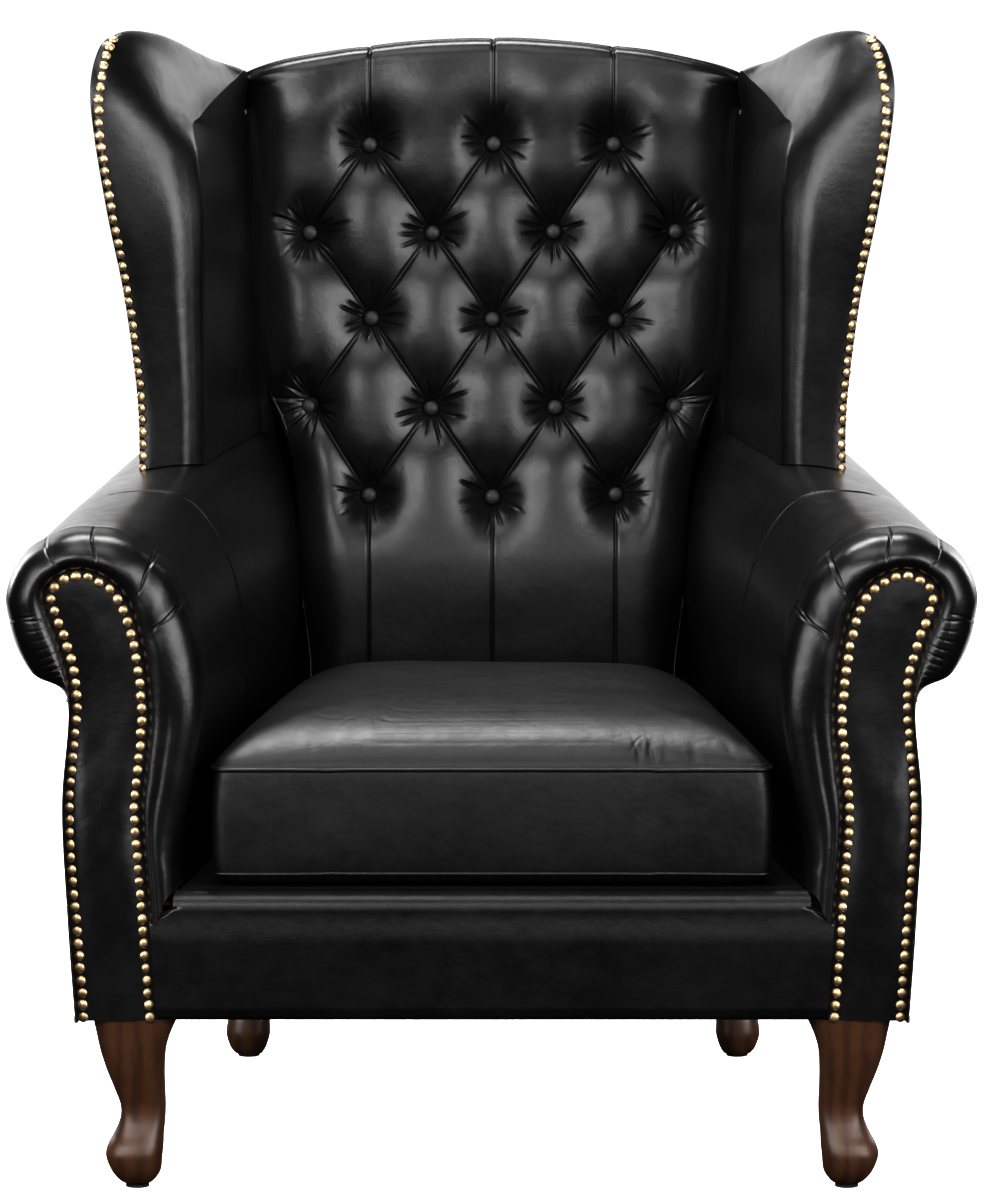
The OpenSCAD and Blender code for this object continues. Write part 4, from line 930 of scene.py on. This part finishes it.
# Outside back: one panel drawn over the frame from side to side, a little fuller in its middle
rear_mesh = frame["nodes"]["outside_back_cover"].data
ends = np.array([[rear_mesh.vertices[i].co for i in e.vertices] for e in rear_mesh.edges]) / MM


def rear_reach(at, along, across):
    """How far the frame's panel reaches in one direction, at places along the other."""
    start, way = ends[:, 0], ends[:, 1] - ends[:, 0]
    share = (at[:, None] - start[:, along]) / np.where(np.abs(way[:, along]) > 1e-6, way[:, along], 1)
    value = start[:, across] + share * way[:, across]
    return np.where((share >= 0) & (share <= 1), value, -1e9).max(axis=1)


t, c = np.linspace(0, 1, 260), np.linspace(-1, 1, 200)
corner = rear_w / 2 - 1.0
side_top = rear_reach(np.array([corner]), 0, 2)[0]
rear_foot = ends[..., 2].min()
half = rear_reach(rear_foot + 0.3 + (side_top - rear_foot - 0.6) * t, 2, 0)
tops = rear_reach(corner * c, 0, 2)
x = np.outer(half, c)
z = rear_foot + np.outer(t, tops - rear_foot)
swell_h = 2.4
swell = swell_h * np.outer(1 - np.abs(2 * t - 1) ** 8, 1 - np.abs(c) ** 6)
p = place(x, rear_y(z) + rear_panel_t + swell, z)
p[..., 1] += 0.7 * wobble(p, 260, 71) * swell / swell_h
flip = raised(p, swell, 120, 90, [0, 1, 0])[1]
padded_grid("outside_back_leather", p, 0.3, "outside_back_cover", flip=flip, hem=2.6)


# Border under the seat
low_half = seat_half + facing_edge(np.array(14.0))[0] - 0.5
high_half = seat_half + facing_edge(np.array(13.1))[0] - 0.5
border_front, border_top = 7.5, deck_h + 1.9
reach_half, edge_r = 297.0, 18.0
# A mitre joins the border's upper part to the arm's band on either side
mitre_low, mitre_high = np.array([266.0, 294.0]), np.array([306.0, 266.0])
mitre_x, mitre_z, mitre_lean = 302, 269, 34 / 23
u = np.linspace(-1, 1, 360)
rows = []
for w in np.linspace(0, 1, 90):
    z = leg_h + 1 + (border_top - edge_r - leg_h - 1) * w
    half = np.interp(z, [leg_h, 262, 272, border_top], [low_half, high_half - 0.5, 303, reach_half])
    x = u * half
    puff = 2.4 * ridge(w, 0, 0.12, 0.7, 1.0) + 2.2 * step(w, 0, 0.03) - 2.2
    mitre = to_segment(np.abs(x), z, mitre_low, mitre_high)
    outside = step(np.abs(x) - mitre_x + (z - mitre_z) * mitre_lean, -1.5, 1.5)
    rows.append(place(x, border_front - puff + 1.0 * bell(mitre, 1.2) + 2.0 * outside, z))
quarter = np.linspace(0, math.pi / 2, 12)[1:]
edge_turns = [(edge_r * (1 - math.cos(w)), edge_r - edge_r * math.sin(w)) for w in quarter]
for back, down in edge_turns + [(20, 0.5), (23, 2.6), (26, 5.4), (40, 6.0)]:
    rows.append(place(u * reach_half, border_front + back, border_top - down))
p = np.array(rows)
p[..., 1] += 0.5 * wobble(p, 200, 77)
padded_grid("border_leather", p, 0.6, "border_cover", "border_pad", flip=True)


# Seat deck and underside
def cloth(name, corners, z, rests_on, count, *nodes):
    """A stretched cloth over four corners given as half width and depth, front then back."""
    (h0, d0), (h1, d1) = corners
    u, v = np.linspace(-1, 1, count), np.linspace(0, 1, count)[:, None]
    half = h0 + (h1 - h0) * v
    x = half * u
    d = d0 + (d1 - d0) * v
    sag = 1.2 * np.sin(math.pi * v) * np.cos(math.pi * u / 2)
    p = place(x, d, z - sag * 0.6 + 0.25 * wobble(place(x, d, z), 90, 5))
    piece = grid_piece(name, p, CLOTH)
    finish(piece, "cloth", *nodes)


frame_back, post_d, post_w, post_inset, wood_t = 6, 38, 34, 28, 26
border_y, border_pad_t = 8, 8
arm_foot = section(np.array(13.0))[0] - 0.6
rail_out = 0.36 * arm_w + wood_t
rear_rail_y = rear_y(leg_h) - frame_back - post_d
rail_front = border_y + skin + gap + border_pad_t + gap
cloth("deck_cloth",
      ((arm_in(rail_front) + arm_foot, rail_front), (arm_in(rear_rail_y) + arm_foot, rear_rail_y - gap)),
      deck_h - 0.4, ["deck_pad"], 60, "deck_cover")
cloth("dust_cloth", ((arm_in(110.0) + rail_out, 98.0), (arm_in(640.0) + rail_out, 640.0)),
      leg_h - 0.8, ["side_rail_left", "side_rail_right"], 50, "dust_cover")


# Legs
front_leg = (seat_half + 65, 52.0)
front_leg_shares = [
    [0, 0.0, 0.24], [0.02, 0.01, 0.4], [0.08, 0.03, 0.58], [0.17, 0.07, 0.665], [0.235, 0.03, 0.65],
    [0.3, -0.05, 0.58], [0.38, -0.13, 0.53], [0.46, -0.14, 0.53], [0.56, -0.07, 0.59],
    [0.68, 0.02, 0.68], [0.8, 0.07, 0.77], [0.9, 0.05, 0.87], [1, 0, 1]]
rear_leg_out, glide_h = 14, 3
rear_leg = (rear_w / 2 - post_inset - post_w + rear_leg_out, rear_rail_y)
rear_leg_shares = [
    [0, 0, 0.5], [0.04, 0.02, 0.66], [0.12, 0.02, 0.8], [0.2, 0, 0.78], [0.32, -0.08, 0.7],
    [0.5, -0.12, 0.7], [0.7, -0.06, 0.82], [0.86, 0, 0.94], [1, 0, 1]]


def leg_piece(name, at, r, shares, mirror, node_name):
    """A leg around the point at, from shares of its height, its knee and its radius."""
    t = np.linspace(0, len(shares) - 1, 150)
    q = curve(shares, t)
    a = np.linspace(0, 2 * math.pi, 72, endpoint=False)
    c, s = np.cos(a), np.sin(a)
    high = np.clip(q[:, 0], 0, 1)
    square = (2.1 + 0.9 * bell(high - 0.45, 0.2) + 2.6 * high**3)[:, None]
    radius = r * q[:, 2:3] / (np.abs(c) ** square + np.abs(s) ** square) ** (1 / square)
    x = at[0] + r * q[:, 1:2] + radius * c
    d = at[1] - r * q[:, 1:2] + radius * s
    p = place(x, d, glide_h + (leg_h - gap - glide_h) * high[:, None])
    # Both ends close in their middle
    low, top = (np.full_like(p[:1], end.mean(axis=0)) for end in (p[0], p[-1]))
    piece = grid_piece(name, np.concatenate([low, p, top]), WALNUT, wrap=True, mirror=mirror)
    finish(piece, "walnut", node_name)


for side, mirror in SIDES:
    leg_piece("front_leg_wood_" + side, front_leg, 40.0, front_leg_shares, mirror, "leg_front_" + side)
    leg_piece("rear_leg_wood_" + side, rear_leg, 28.0, rear_leg_shares, mirror, "leg_rear_" + side)


# Cushion
pipe_d, seam_rise = 5.0, 14.0
cushion_front, cushion_back = 30.0, seat_d - 10.0
low_seam = deck_h + gap + seam_rise
high_seam = low_seam + boxing_h
cushion_mid = (cushion_front + cushion_back) / 2
around = 560


def squared(c, power=28.0):
    """A sine or cosine of a circle, as that of a rounded square."""
    return np.sign(c) * np.abs(c) ** (2 / power)


def cushion_outline(z, out):
    """Outline of the cushion at the seams, moved out by a distance: sides drawn in, corners tight."""
    a = 2 * math.pi * (np.arange(around) + 0.5) / around
    # Even spacing along a rounded square
    fine = np.linspace(0, 2 * math.pi, 7201)
    run = run_along(squared(joined(np.cos(fine), np.sin(fine))))
    at = np.interp(a / (2 * math.pi) * run[-1], run, fine)
    c, s = np.cos(at), np.sin(at)
    u, v = squared(c), squared(s)
    pull = 4.0 * (1 - np.minimum(np.abs(u), np.abs(v)) ** 2)
    reach = cushion_back - cushion_mid - pipe_d / 2 - np.where(s < 0, pull * np.abs(s) ** 0.3, 0)
    d = cushion_mid + (reach + out) * v
    half = arm_in(d) - 3 - pipe_d / 2 - pull * np.abs(c) ** 0.3
    return place((half + out) * u, d, z), u, v


def cushion_rings(z0, high, shares, power=5.0, corner_drop=0.45):
    """Rings of a cushion panel from its high middle to its edge and low corners."""
    edge, u, v = cushion_outline(z0, -0.4)
    centre = np.array([0, cushion_mid - body_d / 2, z0])
    rows = []
    for r in shares:
        row = centre + (edge - centre) * r
        rise_here = (1 - r**power) ** 0.6 * (1 - corner_drop * (np.abs(u * v) * r * r) ** 3)
        row[:, 2] = z0 + high * rise_here
        rows.append(row)
    return np.array(rows)


shares = np.concatenate([[0.0005], np.linspace(0.02, 0.8, 100), 1 - 0.2 * (1 - np.linspace(0, 1, 70)) ** 1.8])
shares = np.unique(np.clip(shares, 0, 1))
p = cushion_rings(high_seam + 0.6, crown, shares)
x, y = p[..., 0], p[..., 1] + body_d / 2
# Fine wrinkles behind the front edge, along it and across it
wrinkle = np.zeros(x.shape)
r = np.random.default_rng(29)
for k in range(46):
    cx, cy = r.uniform(-190, 240), 40 + abs(r.normal()) * 70
    angle = r.normal() * 0.5 + (1.1 if cx > -40 else 1.9)
    long, wide = r.uniform(10, 32), r.uniform(1.1, 2.6)
    ax = (x - cx) * math.cos(angle) + (y - cy) * math.sin(angle)
    ay = -(x - cx) * math.sin(angle) + (y - cy) * math.cos(angle)
    wrinkle += r.uniform(0.15, 0.45) * bell(ax, long) * cut(ay + 0.012 * ax**2, wide)
for k in range(22):
    cx, cy = r.uniform(-230, 230), 36 + r.uniform(0, 14)
    deep, slant, wide = r.uniform(0.3, 0.8), r.normal() * 0.2, r.uniform(1.5, 3)
    wrinkle += deep * bell(x - cx - slant * (y - cy), wide) * bell(y - cy, 12)
soft = 1.8 * wobble(p * [1, 0.5, 0], 150, 31, 1)
inside = 1 - step(shares, 0.985, 1.0)[:, None]
p, flip = raised(p, (soft - wrinkle) * inside, 60, 100, [0, 0, 1])
loose = {"material": SEAT_LEATHER, "body": CUSHION, "wrap": True}
padded_grid("cushion_top_leather", p, 0.8, "cushion_top", flip=flip, **loose)
bottom_flip = not flip

rows = []
boxing_rows = np.linspace(0, 1, 56)
for w in boxing_rows:
    z = low_seam + 0.5 + (boxing_h - 1.0) * w
    swell = 3.0 * math.sin(math.pi * w) ** 0.6 if 0 < w < 1 else 0
    rows.append(cushion_outline(z, swell - 1.6)[0])
p = np.array(rows)
uneven = 0.9 * wobble(p, 120, 35) * np.sin(math.pi * boxing_rows)[:, None]
p, flip = raised(p, uneven, 28, 420, [0, -1, 0])
padded_grid("cushion_boxing_leather", p, 0.8, "cushion_boxing", flip=flip, **loose)

shares = np.concatenate([[0.0005], np.linspace(0.05, 0.9, 30), 1 - 0.1 * (1 - np.linspace(0, 1, 26)) ** 1.6])
p = cushion_rings(low_seam - 0.6, -(seam_rise - 0.8), np.unique(shares), 16.0, 0.0)
padded_grid("cushion_bottom_leather", p, 0.8, "cushion_bottom", "cushion_core", flip=bottom_flip, **loose)


# Welts along both seams
welt_sides, welt_r = 12, 2.0
verts, faces = [], []
for z in (low_seam, high_seam):
    wave = 0.5 * np.sin(np.arange(around) * 2 * math.pi / around * 9 + z)
    tube = np.array(grid_faces(welt_sides + 1, around, wrap=True)) % (welt_sides * around)
    faces += (tube + len(verts)).tolist()
    for k in range(welt_sides):
        a = 2 * math.pi * k / welt_sides
        ring = cushion_outline(z + welt_r * math.sin(a), welt_r * math.cos(a) - 0.2)[0]
        ring[:, 2] += wave * 0.6
        verts += ring.tolist()
finish(mesh_piece("cushion_welts", verts, faces, WELT, CUSHION), "leather", "cushion_piping")


# Studio
def studio_floor():
    """A wide floor that turns up into a wall all round."""
    mesh = bpy.data.meshes.new("studio_floor")
    reach, wall, bend, low = 24.0, 30.0, 6, -0.0005
    turns = [(reach + bend, wall)]
    turns += [(reach + bend * math.sin(a), bend - bend * math.cos(a)) for a in np.linspace(math.pi / 2, 0, 9)]
    turns += [(reach * w, low) for w in (0.8, 0.4, 0.1)]
    verts, faces = turned(turns, 64, low)
    mesh.from_pydata(verts.tolist(), [], faces)
    floor = added("studio_floor", mesh)
    mat, tree, shader = material("pale_floor")
    cloudy = noise(tree, spot(tree), 2.0, 2.0)
    paint(tree, shader, cloudy, [(0.3, (0.86, 0.86, 0.86)), (0.7, (0.9, 0.9, 0.9))])
    put(shader, Roughness=0.9, Emission_Color=(1, 1, 1, 1), Emission_Strength=1.05)
    mesh.materials.append(mat)
    floor.visible_glossy = False
    floor.visible_diffuse = False


def softbox(name, at, aim, size, watts):
    """A lamp with a rectangular face, size in metres."""
    data = bpy.data.lights.new(name, "AREA")
    data.shape = "RECTANGLE"
    data.size, data.size_y = size
    data.energy = watts
    lamp = added(name, data)
    lamp.location = at
    lamp.visible_camera = False
    lamp.rotation_mode = "QUATERNION"
    lamp.rotation_quaternion = (Vector(aim) - Vector(at)).to_track_quat("-Z", "Y")


studio_floor()
world = bpy.data.worlds.new("studio")
world.use_nodes = True
put(world.node_tree.nodes["Background"], Color=(1, 1, 1, 1), Strength=0.012)
bpy.context.scene.world = world

# Lamps: name, place and size in metres, power in watts
aim = (0, -0.1, 0.6)
for name, at, size, watts in (
        ("front_panel", (0.1, -5.1, 1.75), (2.2, 2.4), 32),
        ("front_left", (-1.3, -4.4, 2.9), (1.0, 1.0), 62), ("front_right", (1.5, -4.4, 2.9), (1.0, 1.0), 34),
        ("key_left", (-2.3, -3.6, 2.8), (0.8, 1.2), 45), ("key_right", (2.3, -3.6, 2.8), (0.8, 1.2), 36),
        ("side_left", (-3.1, -2.6, 1.5), (2.2, 2.6), 140), ("side_right", (3.1, -2.6, 1.5), (2.2, 2.6), 165),
        ("overhead", (-0.4, 0.8, 3.0), (1.8, 1.0), 95), ("above", (-0.4, -1.3, 3.2), (1.8, 1.2), 34),
        ("backdrop", (0, 3.6, 1.3), (6.0, 2.2), 75),
        ("rim_left", (-2.2, 2.4, 1.6), (0.8, 2.0), 40), ("rim_right", (2.2, 2.4, 1.6), (0.8, 2.0), 34)):
    softbox(name, at, aim, size, watts)
# A low lamp behind the chair gives its leaning back a soft sheen
softbox("floor_rear", (0, 1.6, 0.1), (0, 1.5, 1.0), (3.0, 1.6), 26)

# Camera, fitted to the photograph
lens, sideways, away, height, tilt = 206.297, 0.0093, 6.3, 1.3909, 7.484
camera_data = bpy.data.cameras.new("camera")
camera_data.lens = lens
camera_data.sensor_width = 36.0
camera_data.clip_end = 200.0
camera = added("camera", camera_data)
camera.location = (sideways, -body_d / 2 * MM - away, height)
camera.rotation_euler = (math.radians(90 - tilt), 0, 0)
bpy.context.scene.camera = camera
view = bpy.context.scene.view_settings
view.view_transform = "Standard"
view.exposure = 0.14
view.gamma = 0.76
